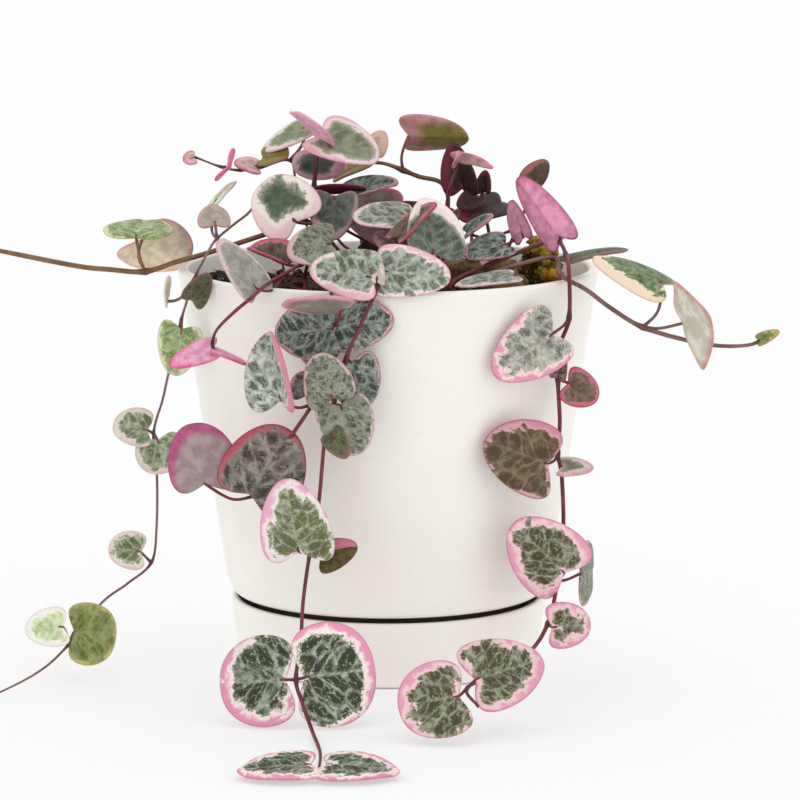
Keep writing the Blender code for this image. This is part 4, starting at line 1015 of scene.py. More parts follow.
def leaf_material(name, look, tint):
    """The two faces of one kind of leaf."""
    material, tree, shader = new_material(name)
    mark = group_node(tree, "leaf marks", {
        "Border width": look.border_width, "Border wander": look.wander,
        "Fringe width": look.fringe_width, "Line width": look.line_width,
        "Halo width": look.halo_width, "Cell": look.cell, "Grit": look.grit,
        "Softness": look.softness}).outputs
    face = blend(tree, mark["Outer"], leaf_tone(look.patch), leaf_tone(look.outer))
    face = blend(tree, maths(tree, "MULTIPLY", mark["Halo"], look.halo_strength), face,
                 leaf_tone(look.halo))
    face = blend(tree, maths(tree, "MULTIPLY", mark["Net"], look.net_strength), face,
                 leaf_tone(look.net))
    shade = even_grey(tree, fade(tree, mark["Cloud"], 0.0, 1.0, 0.84, 1.12))
    face = blend(tree, 1.0, face, shade, "MULTIPLY")
    border = blend(tree, mark["Pale"], leaf_tone(look.border), leaf_tone(look.border_pale))
    face = blend(tree, mark["Fringe"], face, leaf_tone(look.border_pale))
    face = blend(tree, mark["Border"], face, border)
    back = blend(tree, mark["Under rim"], leaf_tone(look.under), leaf_tone(look.under_rim))
    back = blend(tree, maths(tree, "MULTIPLY", mark["Net"], 0.12), back, leaf_tone(look.net))
    back = blend(tree, 1.0, back, shade, "MULTIPLY")
    face = blend(tree, mark["Upper"], back, face)
    face = blend(tree, maths(tree, "MULTIPLY", mark["Edge"], look.edge_strength * 0.65), face,
                 leaf_tone(look.edge))
    change = even_grey(tree, fade(tree, mark["Tint"], 0.0, 1.0, 1.0 - tint / 2, 1.0 + tint / 2))
    face = blend(tree, 1.0, face, change, "MULTIPLY")
    rough = fade(tree, mark["Net"], 0.0, 1.0, 0.42, 0.55)
    connect_surface(tree, shader, face, rough, mark["Height"], 0.00014)
    shader.inputs["Specular IOR Level"].default_value = 0.32
    return material


def stem_material(name, colours):
    """The skin of stems and leaf stalks, darker at the joints."""
    material, tree, shader = new_material(name)
    skin, lit, joint = (leaf_tone(colour) for colour in colours)
    marks = group_node(tree, "mottled surface", {
        "Colour": skin, "Shade": lit, "Fleck": joint, "Mottle scale": 170.0,
        "Fleck scale": 1500.0, "Relief scale": 900.0, "Fleck amount": 0.5,
        "Roughness low": 0.3, "Roughness high": 0.48}).outputs
    knot = add_node(tree, "ShaderNodeAttribute", attribute_name="knot").outputs["Fac"]
    colour = blend(tree, maths(tree, "MULTIPLY", knot, 0.75), marks["Colour"], joint)
    connect_surface(tree, shader, colour, marks["Roughness"], marks["Height"], 0.00012)
    return material


# Modelling helpers


def clear_selection():
    """Nothing selected and no piece active."""
    bpy.ops.object.select_all(action="DESELECT")
    bpy.context.view_layer.objects.active = None


def make_active(piece):
    """Only this piece selected, and active."""
    clear_selection()
    piece.select_set(True)
    bpy.context.view_layer.objects.active = piece


def settle(piece, name):
    """Put a new piece's place, turn and size into its mesh."""
    piece.name = name
    piece.data.name = name
    bpy.ops.object.transform_apply(location=True, rotation=True, scale=True)
    return piece


def added(name, data):
    """A new object for a mesh, a curve, a light or a camera."""
    made = bpy.data.objects.new(name, data)
    bpy.context.scene.collection.objects.link(made)
    return made


def copied(template, matrix):
    """A copy of a template with its own mesh, put in place in that mesh."""
    mesh = template.data.copy()
    mesh.transform(matrix)
    return added("part", mesh)


def joined(parts, name):
    """One piece from several."""
    make_active(parts[0])
    for part in parts[1:]:
        part.select_set(True)
    bpy.ops.object.join()
    piece = bpy.context.view_layer.objects.active
    piece.name = name
    piece.data.name = name
    return piece


def discard(pieces):
    """Take templates out of the file."""
    for piece in pieces:
        bpy.data.objects.remove(piece, do_unlink=True)


def turned(name, profile, steps):
    """A turned piece from (radius, height) points: a ring drawn up point by point."""
    clear_selection()
    radius, height = profile[0]
    bpy.ops.mesh.primitive_circle_add(
        vertices=steps, radius=radius * MM, fill_type="NOTHING", location=(0, 0, height * MM))
    piece = settle(bpy.context.view_layer.objects.active, name)
    bpy.ops.object.mode_set(mode="EDIT")
    bpy.ops.mesh.select_all(action="SELECT")
    for (before, low), (after, high) in zip(profile, profile[1:]):
        bpy.ops.mesh.extrude_region_move(
            TRANSFORM_OT_translate={"value": (0, 0, (high - low) * MM)})
        share = after / before
        bpy.ops.transform.resize(value=(share, share, 1.0), center_override=(0, 0, high * MM))
        if after == 0:
            bpy.ops.mesh.merge(type="CENTER")
    bpy.ops.mesh.select_all(action="SELECT")
    bpy.ops.mesh.remove_doubles(threshold=1e-6)
    # A profile that starts away from the middle leaves a hole, which is closed at its centre
    bpy.ops.mesh.select_all(action="DESELECT")
    bpy.ops.mesh.select_non_manifold()
    bpy.ops.object.mode_set(mode="OBJECT")
    if any(point.select for point in piece.data.vertices):
        bpy.ops.object.mode_set(mode="EDIT")
        bpy.ops.mesh.extrude_region_move()
        bpy.ops.mesh.merge(type="CENTER")
        bpy.ops.object.mode_set(mode="OBJECT")
    bpy.ops.object.mode_set(mode="EDIT")
    bpy.ops.mesh.select_all(action="SELECT")
    bpy.ops.mesh.normals_make_consistent(inside=False)
    bpy.ops.object.mode_set(mode="OBJECT")
    return piece


def smooth_shaded(piece, angle):
    """Smooth shading that keeps corners sharper than an angle in degrees."""
    make_active(piece)
    bpy.ops.object.shade_smooth_by_angle(angle=math.radians(angle))


def finish_piece(piece, replaced, material=None):
    """Give a piece its material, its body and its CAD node."""
    if material is not None:
        piece.data.materials.clear()
        piece.data.materials.append(material)
    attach(piece, "root")
    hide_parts(replaced)


def round_corner(corner, radius, before, after, points):
    """Points that round a corner of a profile, between its neighbours."""
    corner, before, after = (Vector((*place, 0)) for place in (corner, before, after))
    start = corner + (before - corner).normalized() * radius
    end = corner + (after - corner).normalized() * radius
    made = []
    for step in range(points + 1):
        t = step / points
        place = start * (1 - t) ** 2 + corner * 2 * t * (1 - t) + end * t * t
        made.append((place.x, place.y))
    return made


# Making the pot and saucer


def wall_radius(height, rim, top, inset=0.0):
    """The tapered wall's radius at a height, or further in by an inset."""
    share = (height - SHOULDER_HEIGHT) / (top - SHOULDER_HEIGHT)
    return SHOULDER_RADIUS + (rim - SHOULDER_RADIUS) * share - inset


class HEARTS_OT_pot(bpy.types.Operator):
    """Turn the tapered pot, with its rounded lip and lower corner"""

    bl_idname = "hearts.pot"
    bl_label = "Pot"

    def execute(self, context):
        settings = context.scene.heart_pot
        rim, top = settings.rim_radius / MM, settings.rim_height / MM
        neck = (FOOT_RADIUS + 0.6, FOOT_TOP)
        shoulder = (SHOULDER_RADIUS, SHOULDER_HEIGHT)
        upper = (wall_radius(WALL_MIDDLE, rim, top), WALL_MIDDLE)
        lip_out, lip_in = (rim, top), (wall_radius(top, rim, top, WALL), top)
        inner = (wall_radius(WALL_MIDDLE, rim, top, WALL), WALL_MIDDLE)
        profile = [(DRAIN_RADIUS, POT_BASE), (FOOT_RADIUS - 1.0, POT_BASE)]
        profile += round_corner((FOOT_RADIUS, POT_BASE), 0.9, profile[-1], (FOOT_RADIUS, 10), 3)
        profile += [(FOOT_RADIUS + 0.3, 12.0)]
        profile += round_corner(neck, 1.2, profile[-1], LOWER_CORNER, 3)
        profile += round_corner(LOWER_CORNER, 1.6, neck, shoulder, 4)
        profile += round_corner(shoulder, 2.0, LOWER_CORNER, upper, 5)
        profile += [(wall_radius(z, rim, top), z) for z in (30, 45, WALL_MIDDLE, 75, 88)]
        profile += round_corner(lip_out, 1.15, upper, lip_in, 6)
        profile += round_corner(lip_in, 0.9, lip_out, inner, 5)
        profile += [(wall_radius(z, rim, top, WALL), z) for z in (85, WALL_MIDDLE, 35, 22)]
        profile += [(FOOT_RADIUS - 1.4, 16.4), (FOOT_RADIUS - 2.6, POT_FLOOR),
                    (DRAIN_RADIUS, POT_FLOOR), (DRAIN_RADIUS, POT_BASE)]
        pot = turned("pot_glazed", profile, POT_STEPS)
        smooth_shaded(pot, CORNER_ANGLE)
        glaze = glaze_material("pot glaze", settings, 0.34, POT_PAINTED_SHADE_TOP)
        finish_piece(pot, "pot", glaze)
        return {"FINISHED"}


class HEARTS_OT_saucer(bpy.types.Operator):
    """Turn the deep saucer, with its rounded lip and foot"""

    bl_idname = "hearts.saucer"
    bl_label = "Saucer"

    def execute(self, context):
        settings = context.scene.heart_pot
        rim, top = settings.saucer_radius / MM, settings.saucer_height / MM
        foot = SAUCER_FOOT_RADIUS
        inner = foot - SAUCER_WALL
        lip_out, lip_in = (rim, top), (rim - 2.0, top)
        profile = [(30.0, 0.0), (foot - 2.6, 0.0)]
        profile += round_corner((foot - 0.1, 0.0), 1.5, profile[-1], (foot + 0.2, 8), 5)
        profile += [(foot + (rim - foot) * 0.5, 8.0)]
        profile += round_corner(lip_out, 0.95, profile[-1], lip_in, 5)
        profile += round_corner(lip_in, 0.8, lip_out, (inner, SAUCER_FLOOR + 1), 5)
        profile += [(inner + 0.9, 9.0)]
        profile += round_corner((inner, SAUCER_FLOOR), 1.6, (inner + 0.9, 9), (20, SAUCER_FLOOR), 4)
        profile += [(radius, SAUCER_FLOOR) for radius in (25.0, 10.0, 0)]
        saucer = turned("saucer_glazed", profile, POT_STEPS)
        smooth_shaded(saucer, CORNER_ANGLE)
        glaze = glaze_material("saucer glaze", settings, 0.4, SAUCER_PAINTED_SHADE_TOP)
        finish_piece(saucer, "saucer", glaze)
        return {"FINISHED"}


def glaze_material(name, settings, roughness, painted_shade_below):
    """Cream satin glaze with faint clouds and pinpricks, and a dark painted shade below a height."""
    material = surface_material(
        name, tuple(settings.glaze), tuple(settings.glaze_shade), linear((206, 196, 182)),
        rough=(roughness - 0.04, roughness + 0.05), scales=(22.0, 1400.0, 240.0), flecks=0.1,
        relief=0.00002)
    tree = material.node_tree
    socket = tree.nodes["Principled BSDF"].inputs["Base Color"]
    glazed = socket.links[0].from_socket
    place = add_node(tree, "ShaderNodeTexCoord").outputs["Object"]
    height = add_node(tree, "ShaderNodeSeparateXYZ", {0: place}).outputs[2]
    # Below the height the glaze gives way to a dark clay-brown: painted shade in the pot's gap and painted
    # contact shadow at the saucer's foot
    high = fade(tree, height, (painted_shade_below - 0.3) * MM, painted_shade_below * MM)
    tree.links.new(blend(tree, high, linear((84, 75, 66)), glazed), socket)
    return material


# Making the soil, tubers and moss


class Bit(NamedTuple):
    """One kind of bit on the soil: its shape, its finish and how it is scattered."""

    shape: tuple
    roughness: float
    level: int  # how finely the icosphere that it starts from is divided
    seed: float
    finish: str
    sizes: tuple
    inset: float  # how much further in than the crumbs it stays
    sink: float  # how far it sinks in, as a share of its size
    flat: bool = False


BITS = {
    "crumb": Bit((1, 0.85, 0.75), 0.9, 2, 3.0, "soil", (0.35, 1.1), 0, 0.2),
    "clod": Bit((1, 0.8, 0.7), 1.1, 3, 9.0, "soil", (1.0, 2.0), 1, 0.45),
    "chip": Bit((1.6, 0.7, 0.28), 0.5, 2, 5.0, "bark", (0.6, 1.5), 2, 0.1, True),
    "fibre": Bit((4.2, 0.17, 0.17), 0.6, 2, 8.0, "bark", (0.5, 1.1), 4, -0.1, True),
    "pearl": Bit((1, 0.9, 0.8), 0.6, 2, 12.0, "grit", (0.4, 0.95), 1, 0.2),
}


def ripple(x, y, scale, layer):
    """Smooth noise over the soil, from about -1 to 1."""
    return noise.noise(Vector((x * scale, y * scale, layer)))


def soil_height(x, y):
    """The uneven top of the soil, heaped at the left."""
    far = ((x - HEAP_CENTRE[0]) ** 2 + (y - HEAP_CENTRE[1]) ** 2) / (2 * HEAP_SPREAD**2)
    return SOIL_LEVEL + HEAP_HEIGHT * math.exp(-far) + SOIL_ROUGHNESS * ripple(x, y, 0.13, 4.0)


def bit_template(name, bit):
    """An irregular crumb, chip or fibre, from a small icosphere."""
    clear_selection()
    bpy.ops.mesh.primitive_ico_sphere_add(subdivisions=bit.level, radius=MM)
    piece = settle(bpy.context.view_layer.objects.active, name)
    for point in piece.data.vertices:
        bump = noise.noise(point.co / MM * 1.4 + Vector((bit.seed, 0, 0)))
        bump = 1 + bit.roughness * bump
        point.co = Vector([point.co[axis] * bit.shape[axis] * bump for axis in range(3)])
    bpy.ops.object.shade_smooth()
    return piece


def scattered(rng, template, bit, count, reach):
    """Copies of a template on the soil."""
    parts = []
    for _ in range(count):
        angle = rng.uniform(0, math.tau)
        radius = (reach - bit.inset) * math.sqrt(rng.random())
        x, y = radius * math.cos(angle), radius * math.sin(angle)
        size = rng.uniform(*bit.sizes)
        leaning = [rng.uniform(-BIT_TILT, BIT_TILT) for _ in range(2)]
        turn = Euler((*leaning, rng.uniform(0, math.tau)))
        if not bit.flat:
            turn = Euler([rng.uniform(0, math.tau) for _ in range(3)])
        place = millimetres((x, y, soil_height(x, y) + size * (0.5 - bit.sink)))
        matrix = Matrix.Translation(place) @ turn.to_matrix().to_4x4() @ Matrix.Scale(size, 4)
        parts.append(copied(template, matrix))
    return parts


def soil_bed(pot):
    """The body of the potting mix inside the pot, with its rough top, and that top's radius."""
    rim, top = pot.rim_radius / MM, pot.rim_height / MM
    edge = wall_radius(SOIL_LEVEL, rim, top, WALL + SOIL_CLEARANCE)
    profile = [(20.0, 6.6), (FOOT_RADIUS - 3.1, 6.6), (FOOT_RADIUS - 1.9, 16.2),
               (wall_radius(22, rim, top, WALL + 0.4), 22.0),
               (wall_radius(WALL_MIDDLE, rim, top, WALL + 0.35), WALL_MIDDLE)]
    profile += [(edge * (1 - ring / SOIL_RINGS), SOIL_LEVEL) for ring in range(SOIL_RINGS)]
    profile += [(0, SOIL_LEVEL)]
    bed = turned("soil_mix", profile, SOIL_STEPS)
    for point in bed.data.vertices:
        if point.co.z > (SOIL_LEVEL - 1) * MM:
            x, y = point.co.x / MM, point.co.y / MM
            rough = ripple(x, y, 0.55, 1.0) * 0.7
            rough += ripple(x, y, 1.4, 7.0) * 0.4
            point.co.z = (soil_height(x, y) + rough) * MM
    smooth_shaded(bed, 60)
    return bed, edge


class HEARTS_OT_soil(bpy.types.Operator):
    """Fill the pot with potting mix: a rough surface, crumbs, bark, fibres and pale grit"""

    bl_idname = "hearts.soil"
    bl_label = "Soil"

    def execute(self, context):
        settings = context.scene.heart_soil
        rng = random.Random(11)
        bed, edge = soil_bed(context.scene.heart_pot)
        finishes = {
            "soil": surface_material(
                "potting mix", tuple(settings.soil), linear((30, 19, 12)), linear((122, 92, 62)),
                rough=(0.75, 0.95), scales=(420.0, 1500.0, 1300.0), flecks=0.5, relief=0.0006,
                specular=0.3),
            "bark": surface_material(
                "bark and fibre", tuple(settings.bark), linear((74, 44, 26)),
                linear((150, 108, 70)), rough=(0.6, 0.85), scales=(300.0, 1600.0, 1200.0),
                flecks=0.5, relief=0.0003, specular=0.3),
            "grit": surface_material(
                "pale grit", linear((226, 222, 212)), linear((196, 190, 178)),
                linear((150, 140, 124)), rough=(0.7, 0.9), scales=(500.0, 1800.0, 1500.0),
                flecks=0.4, relief=0.0002, specular=0.3),
        }
        bed.data.materials.append(finishes["soil"])
        templates = {name: bit_template(name, bit) for name, bit in BITS.items()}
        parts = [bed]
        for name, bit in BITS.items():
            templates[name].data.materials.append(finishes[bit.finish])
            count = getattr(settings, name + "s")
            parts += scattered(rng, templates[name], bit, count, edge - BIT_MARGIN)
        piece = joined(parts, "soil_mix")
        discard(templates.values())
        finish_piece(piece, "soil")
        return {"FINISHED"}


def lump(name, centre, radii, bumps, roughness, level):
    """A lump of the CAD model's shape with finer relief."""
    clear_selection()
    bpy.ops.mesh.primitive_ico_sphere_add(subdivisions=level, radius=1.0)
    piece = settle(bpy.context.view_layer.objects.active, name)
    for point in piece.data.vertices:
        swell = 1.0 + bumps * noise.noise(point.co * 2.3 + Vector(centre))
        swell += roughness * noise.fractal(point.co * 6.0 + Vector(centre), 0.8, 2.0, 3)
        place = Vector([point.co[axis] * radii[axis] * swell for axis in range(3)])
        point.co = millimetres(place + Vector(centre))
    bpy.ops.object.shade_smooth()
    return piece


class HEARTS_OT_tubers(bpy.types.Operator):
    """Shape the two wrinkled tubers that sit on the soil"""

    bl_idname = "hearts.tubers"
    bl_label = "Tubers"

    def execute(self, context):
        settings = context.scene.heart_soil
        skin = surface_material(
            "tuber skin", tuple(settings.tuber), linear((82, 58, 32)), linear((168, 144, 96)),
            rough=(0.5, 0.75), scales=(240.0, 1300.0, 700.0), flecks=0.6, relief=0.0004,
            specular=0.4)
        for name, (centre, radii) in TUBERS.items():
            piece = lump(name + "_skin", centre, radii, 0.3, 0.05, 5)
            finish_piece(piece, name, skin)
        return {"FINISHED"}


def moss_materials(settings):
    """The moss's green and golden cushions and its dark base."""
    green = surface_material(
        "moss cushions", tuple(settings.moss), linear((100, 86, 22)), linear((190, 168, 60)),
        rough=(0.6, 0.85), scales=(330.0, 1400.0, 900.0), flecks=0.6, relief=0.0004,
        specular=0.3)
    gold = surface_material(
        "golden moss", linear((198, 146, 42)), linear((150, 100, 26)), linear((222, 190, 90)),
        rough=(0.6, 0.85), scales=(330.0, 1400.0, 900.0), flecks=0.6, relief=0.0004,
        specular=0.3)
    brown = surface_material(
        "moss base", linear((78, 60, 24)), linear((44, 30, 12)), linear((128, 108, 36)),
        rough=(0.8, 0.95), scales=(300.0, 1400.0, 900.0), flecks=0.5, relief=0.0005,
        specular=0.2)
    return green, gold, brown


def moss_tuft(rng):
    """A tuft of thin leaflets that spread from one place."""
    clear_selection()
    bpy.ops.mesh.primitive_cone_add(
        vertices=4, radius1=LEAFLET_RADIUS * MM, radius2=0, depth=LEAFLET_LENGTH * MM)
    leaflet = settle(bpy.context.view_layer.objects.active, "leaflet")
    for point in leaflet.data.vertices:
        point.co.z += LEAFLET_LIFT * MM
        point.co.y *= LEAFLET_FLATNESS
    sprays = []
    for _ in range(TUFT_LEAFLETS):
        tilt = Euler((rng.uniform(-1.0, 1.0), rng.uniform(-1.0, 1.0), rng.uniform(0, math.tau)))
        lift = Matrix.Translation(millimetres((0, 0, rng.uniform(-0.1, 0.3))))
        sprays.append(copied(leaflet, lift @ tilt.to_matrix().to_4x4()))
    discard([leaflet])
    return joined(sprays, "tuft")


class HEARTS_OT_moss(bpy.types.Operator):
    """Grow the clump of moss: a dark base, round cushions and tufts of tiny leaves"""

    bl_idname = "hearts.moss"
    bl_label = "Moss"

    def execute(self, context):
        settings = context.scene.heart_soil
        rng = random.Random(23)
        green, gold, brown = moss_materials(settings)
        radii = tuple(radius * MOSS_BASE_SHARE for radius in MOSS_RADII)
        base = lump("moss_tufts", MOSS_CENTRE, radii, 0.4, 0.06, 4)
        base.data.materials.append(brown)
        cushion = lump("cushion", (0, 0, 0), (1.0, 1.0, 0.8), 0.5, 0.12, 3)
        tuft = moss_tuft(rng)
        parts = [base]
        points = [point for point in base.data.vertices if point.co.z > MOSS_LOWEST * MM]
        kinds = [(cushion, CUSHION_SIZES)] * settings.cushions + [(tuft, TUFT_SIZES)] * settings.tufts
        for template, sizes in kinds:
            point = points[rng.randrange(len(points))]
            turn = point.normal.to_track_quat("Z", "Y").to_matrix().to_4x4()
            spin = Matrix.Rotation(rng.uniform(0, math.tau), 4, "Z")
            size = Matrix.Scale(rng.uniform(*sizes), 4)
            part = copied(template, Matrix.Translation(point.co) @ turn @ spin @ size)
            part.data.materials.append(gold if rng.random() < GOLDEN_SHARE else green)
            parts.append(part)
        piece = joined(parts, "moss_tufts")
        discard([tuft, cushion])
        finish_piece(piece, "moss_clump")
        return {"FINISHED"}


# Making the leaves and stems


def heart_half(angle):
    """One side of a heart, from the notch (0 degrees) to the tip (180 degrees)."""
    turn = math.radians(angle)
    half = (1 - math.cos(turn)) / 2
    across = max(math.sin(turn), 0.0) ** ROUNDNESS * (1 + SHOULDERS * math.cos(turn)) / WIDEST
    along = half - LOBE * math.sin(turn) * (1 + math.cos(turn)) + APEX * half**8
    return across, along / (1 + APEX)


def heart_outline():
    """The whole edge of a heart, from its notch along one side and back along the other."""
    outline = []
    for index in range(OUTLINE_POINTS):
        angle = 360.0 * index / OUTLINE_POINTS
        across, along = heart_half(min(angle, 360.0 - angle))
        outline.append((across if angle <= 180.0 else -across, along))
    return outline


def leaf_template():
    """A flat heart, faces at heights 1 and -1, and a ring of points at 0 round its margin."""
    clear_selection()
    bpy.ops.mesh.primitive_circle_add(vertices=OUTLINE_POINTS, radius=1.0, fill_type="NOTHING")
    piece = settle(bpy.context.view_layer.objects.active, "leaf template")
    for point, place in zip(piece.data.vertices, heart_outline()):
        point.co = (*place, 0.0)
    bpy.ops.object.mode_set(mode="EDIT")
    bpy.ops.mesh.select_all(action="SELECT")
    before = 1.0
    for share in RING_SHARES:
        bpy.ops.mesh.extrude_region_move()
        bpy.ops.transform.resize(
            value=(share / before, share / before, 1.0), center_override=(*LEAF_CENTRE, 0.0))
        before = share
    bpy.ops.mesh.extrude_region_move()
    bpy.ops.mesh.merge(type="CENTER")
    bpy.ops.object.mode_set(mode="OBJECT")
    solid = piece.modifiers.new("two faces", "SOLIDIFY")
    solid.thickness = 2.0
    solid.offset = 0.0
    bpy.ops.object.modifier_apply(modifier=solid.name)
    # The edges that join the two faces are halved, which gives the margin its ring of points
    mesh = piece.data
    bpy.ops.object.mode_set(mode="EDIT")
    bpy.ops.mesh.select_mode(type="EDGE")
    bpy.ops.mesh.select_all(action="DESELECT")
    bpy.ops.object.mode_set(mode="OBJECT")
    for edge in mesh.edges:
        low, high = (mesh.vertices[index].co.z for index in edge.vertices)
        edge.select = abs(low - high) > 1.0
    bpy.ops.object.mode_set(mode="EDIT")
    bpy.ops.mesh.subdivide(number_cuts=1)
    bpy.ops.mesh.select_mode(type="VERT")
    bpy.ops.mesh.select_all(action="SELECT")
    # A leaf is the mirror image of this heart, so these faces point inwards to point out there
    bpy.ops.mesh.normals_make_consistent(inside=True)
    bpy.ops.object.mode_set(mode="OBJECT")
    bpy.ops.object.shade_smooth()
    return piece


class Blade:
    """A leaf's place and turn: seen from above with its tip up, its across axis points left."""

    def __init__(self, leaf):
        self.notch = Vector(leaf.notch)
        axis = Vector(leaf.tip) - self.notch
        self.length = axis.length
        self.along = axis.normalized()
        face = Vector(leaf.face)
        self.up = (face - self.along * face.dot(self.along)).normalized()
        self.side = self.up.cross(self.along)
        self.half = leaf.width / 2
        self.fold = math.radians(leaf.fold)

    def spine(self, along):
        """A place on the midrib, with the leaf's gentle bow."""
        bow = -BOW * self.length * max(along, 0.0) ** 2
        return self.notch + self.along * along * self.length + self.up * bow


def rim_distance(places, outline):
    """How far each place on a flat leaf lies from the leaf's outline, in millimetres."""
    steps = np.roll(outline, -1, axis=0) - outline
    lengths = np.maximum((steps**2).sum(1), 1e-12)
    away = places[:, None, :] - outline[None, :, :]
    share = np.clip((away * steps[None]).sum(2) / lengths[None], 0, 1)
    return np.sqrt(((away - share[..., None] * steps[None]) ** 2).sum(2).min(1))


def grown(flat, leaf, length, rng):
    """A flat heart's places with this leaf's own fullness and lopsidedness."""
    across, along = flat[:, 0], flat[:, 1]
    ratio = leaf.width / length
    full = min(max((ratio - WIDE_RATIO) * WIDE_FULLNESS, FULLNESS_LIMITS[0]), FULLNESS_LIMITS[1])
    pointed = max(1 - POINTED_FALLOFF * abs(ratio - POINTED_RATIO), 0.0)
    lopsided, skew = (rng.uniform(-LOPSIDEDNESS, LOPSIDEDNESS) for _ in range(2))
    wide = across * (1 + full * (along - FULLNESS_CENTRE)) * (1 + lopsided * np.tanh(across * 3))
    wide = wide * (1 - TIP_NARROWING * pointed * np.clip(along, 0, 1) ** 5)
    long = LEAF_CENTRE[1] + (along - LEAF_CENTRE[1]) * (1 - leaf.pinch * np.abs(across) ** 1.5)
    long = long + TIP_LENGTHENING * pointed * np.clip(along, 0, 1) ** 8
    return np.stack((wide, long + skew * across * (1 - along)), axis=1)


def leaf_wave(blade, across, along, waviness, rng):
    """Three large and five small waves round a leaf, which grow from its centre outwards."""
    from_centre = np.arctan2(across, along - LEAF_CENTRE[1])
    radial = np.hypot(across, (along - LEAF_CENTRE[1]) * WAVE_STRETCH)
    radial = np.clip(radial, 0, WAVE_LIMIT)
    first, second = rng.uniform(0, math.tau), rng.uniform(0, math.tau)
    wave = np.sin(3 * from_centre + first) * 0.6 + np.sin(5 * from_centre + second) * 0.4
    return wave * radial**2 * waviness * blade.half


def leaf_relief(blade, across, along, rim, seed):
    """The puckers of a leaf's face and the crease on its midrib, which fade at its margin."""
    wide, long = across * blade.half, along * blade.length
    bumps = [noise.noise(Vector((x * PUCKER_SCALE, y * PUCKER_SCALE, seed * PUCKER_STEP)))
             for x, y in zip(wide, long)]
    pucker = np.array(bumps) * PUCKER_DEPTH * np.clip(rim / PUCKER_FADE, 0, 1)
    crease = -CREASE_DEPTH * np.exp(-((wide / CREASE_WIDTH) ** 2))
    return pucker, crease * np.clip(rim / CREASE_FADE, 0, 1)


def border_shift(leaf, blade, across, along):
    """How much wider the pale border is at a place, and thinner by the notch, in millimetres."""
    notch = np.hypot(across * blade.half, along * blade.length) / (NOTCH_REACH * blade.length)
    shift = leaf.pale[0] * across + leaf.pale[1] * (along * 2 - 1)
    return shift - NOTCH_THINNING * np.exp(-(notch**2))


def make_leaf(template, leaf, seed, settings):
    """A leaf with its bow, fold, crease, waves and rounded margin, and its own places."""
    blade = Blade(leaf)
    mesh = template.data.copy()
    flat = np.empty(len(mesh.vertices) * 3)
    mesh.vertices.foreach_get("co", flat)
    flat = flat.reshape(-1, 3)
    outline = grown(np.array(heart_outline()), leaf, blade.length, random.Random(seed))
    flat[:, :2] = grown(flat[:, :2], leaf, blade.length, random.Random(seed))
    across, along, level = flat.T
    reach = np.array((blade.half, blade.length))
    rim = rim_distance(flat[:, :2] * reach, outline * reach)
    margin = np.abs(level) < 0.5
    # Heights above the flat heart: the fold and the bow, then the blade's own thickness
    soft = np.sqrt(across**2 + FOLD_SOFTNESS**2)
    bend, slope = soft - FOLD_SOFTNESS, across / soft
    wave = leaf_wave(blade, across, along, settings.waviness, random.Random(seed * 7 + 3))
    bow = -BOW * blade.length * np.maximum(along, 0) ** 2 - CUPPING * blade.half * across**2
    pucker, crease = leaf_relief(blade, across, along, rim, seed)
    body = settings.leaf_thickness / MM / 2
    rise = level * (body * (0.5 + 0.5 * np.sqrt(np.clip(rim / MARGIN_FADE, 0, 1))))
    rise = rise + pucker + crease
    # Places in space, where the margin's own points stand out a little and round it
    cos, sin = math.cos(blade.fold), math.sin(blade.fold)
    up, side, ahead = (np.array(axis) for axis in (blade.up, blade.side, blade.along))
    centre = np.array(LEAF_CENTRE)
    swollen = centre + (flat[:, :2] - centre) * (1 + MARGIN_SWELL / blade.half)
    spread = np.where(margin[:, None], swollen, flat[:, :2])
    places = (
        np.array(blade.notch)
        + ahead * (spread[:, 1] * blade.length)[:, None]
        + side * (spread[:, 0] * blade.half * cos)[:, None]
        + up * (bend * blade.half * sin + bow + wave)[:, None]
        + (up * cos - side * (slope * sin)[:, None]) * rise[:, None])
    places[:, 2] = np.maximum(places[:, 2], LOWEST_POINT)
    mesh.vertices.foreach_set("co", (places * MM).astype(np.float32).ravel())
    # What the pattern reads: places on the leaf, the way to its rim and its border, its side
    fit = (PATTERN_HALF_WIDTH / blade.half) ** PATTERN_GROWTH
    layer = np.full(len(flat), seed * PATTERN_STEP)
    own = np.stack((across * blade.half * fit, along * blade.length * fit, layer), axis=1)
    from_rim = np.where(margin, 0.0, rim)
    add_attribute(mesh, "place", "FLOAT_VECTOR", own)
    add_attribute(mesh, "rim", "FLOAT", from_rim)
    add_attribute(mesh, "depth", "FLOAT", from_rim - border_shift(leaf, blade, across, along))
    add_attribute(mesh, "upper", "FLOAT", np.clip(level * 2 + 0.5, 0, 1))
    mesh.update()
    return added("leaf", mesh)


def add_attribute(mesh, name, kind, values):
    """A value for every point of a mesh."""
    attribute = mesh.attributes.get(name) or mesh.attributes.new(name, kind, "POINT")
    key = "vector" if kind == "FLOAT_VECTOR" else "value"
    attribute.data.foreach_set(key, np.asarray(values, np.float32).ravel())


def smooth_route(points, step):
    """Points along a smooth curve through the given ones."""
    route = [Vector(point) for point in points]
    ends = [route[0] * 2 - route[1]] + route + [route[-1] * 2 - route[-2]]
    samples = []
    for index in range(len(route) - 1):
        before, start, end, after = ends[index:index + 4]
        count = max(1, round((end - start).length / step))
        for part in range(count):
            t = part / count
            pull = (end - before) * t + (before * 2 - start * 5 + end * 4 - after) * t**2
            turn = (start * 3 - before - end * 3 + after) * t**3
            samples.append(start + (pull + turn) / 2)
    samples.append(route[-1])
    return samples


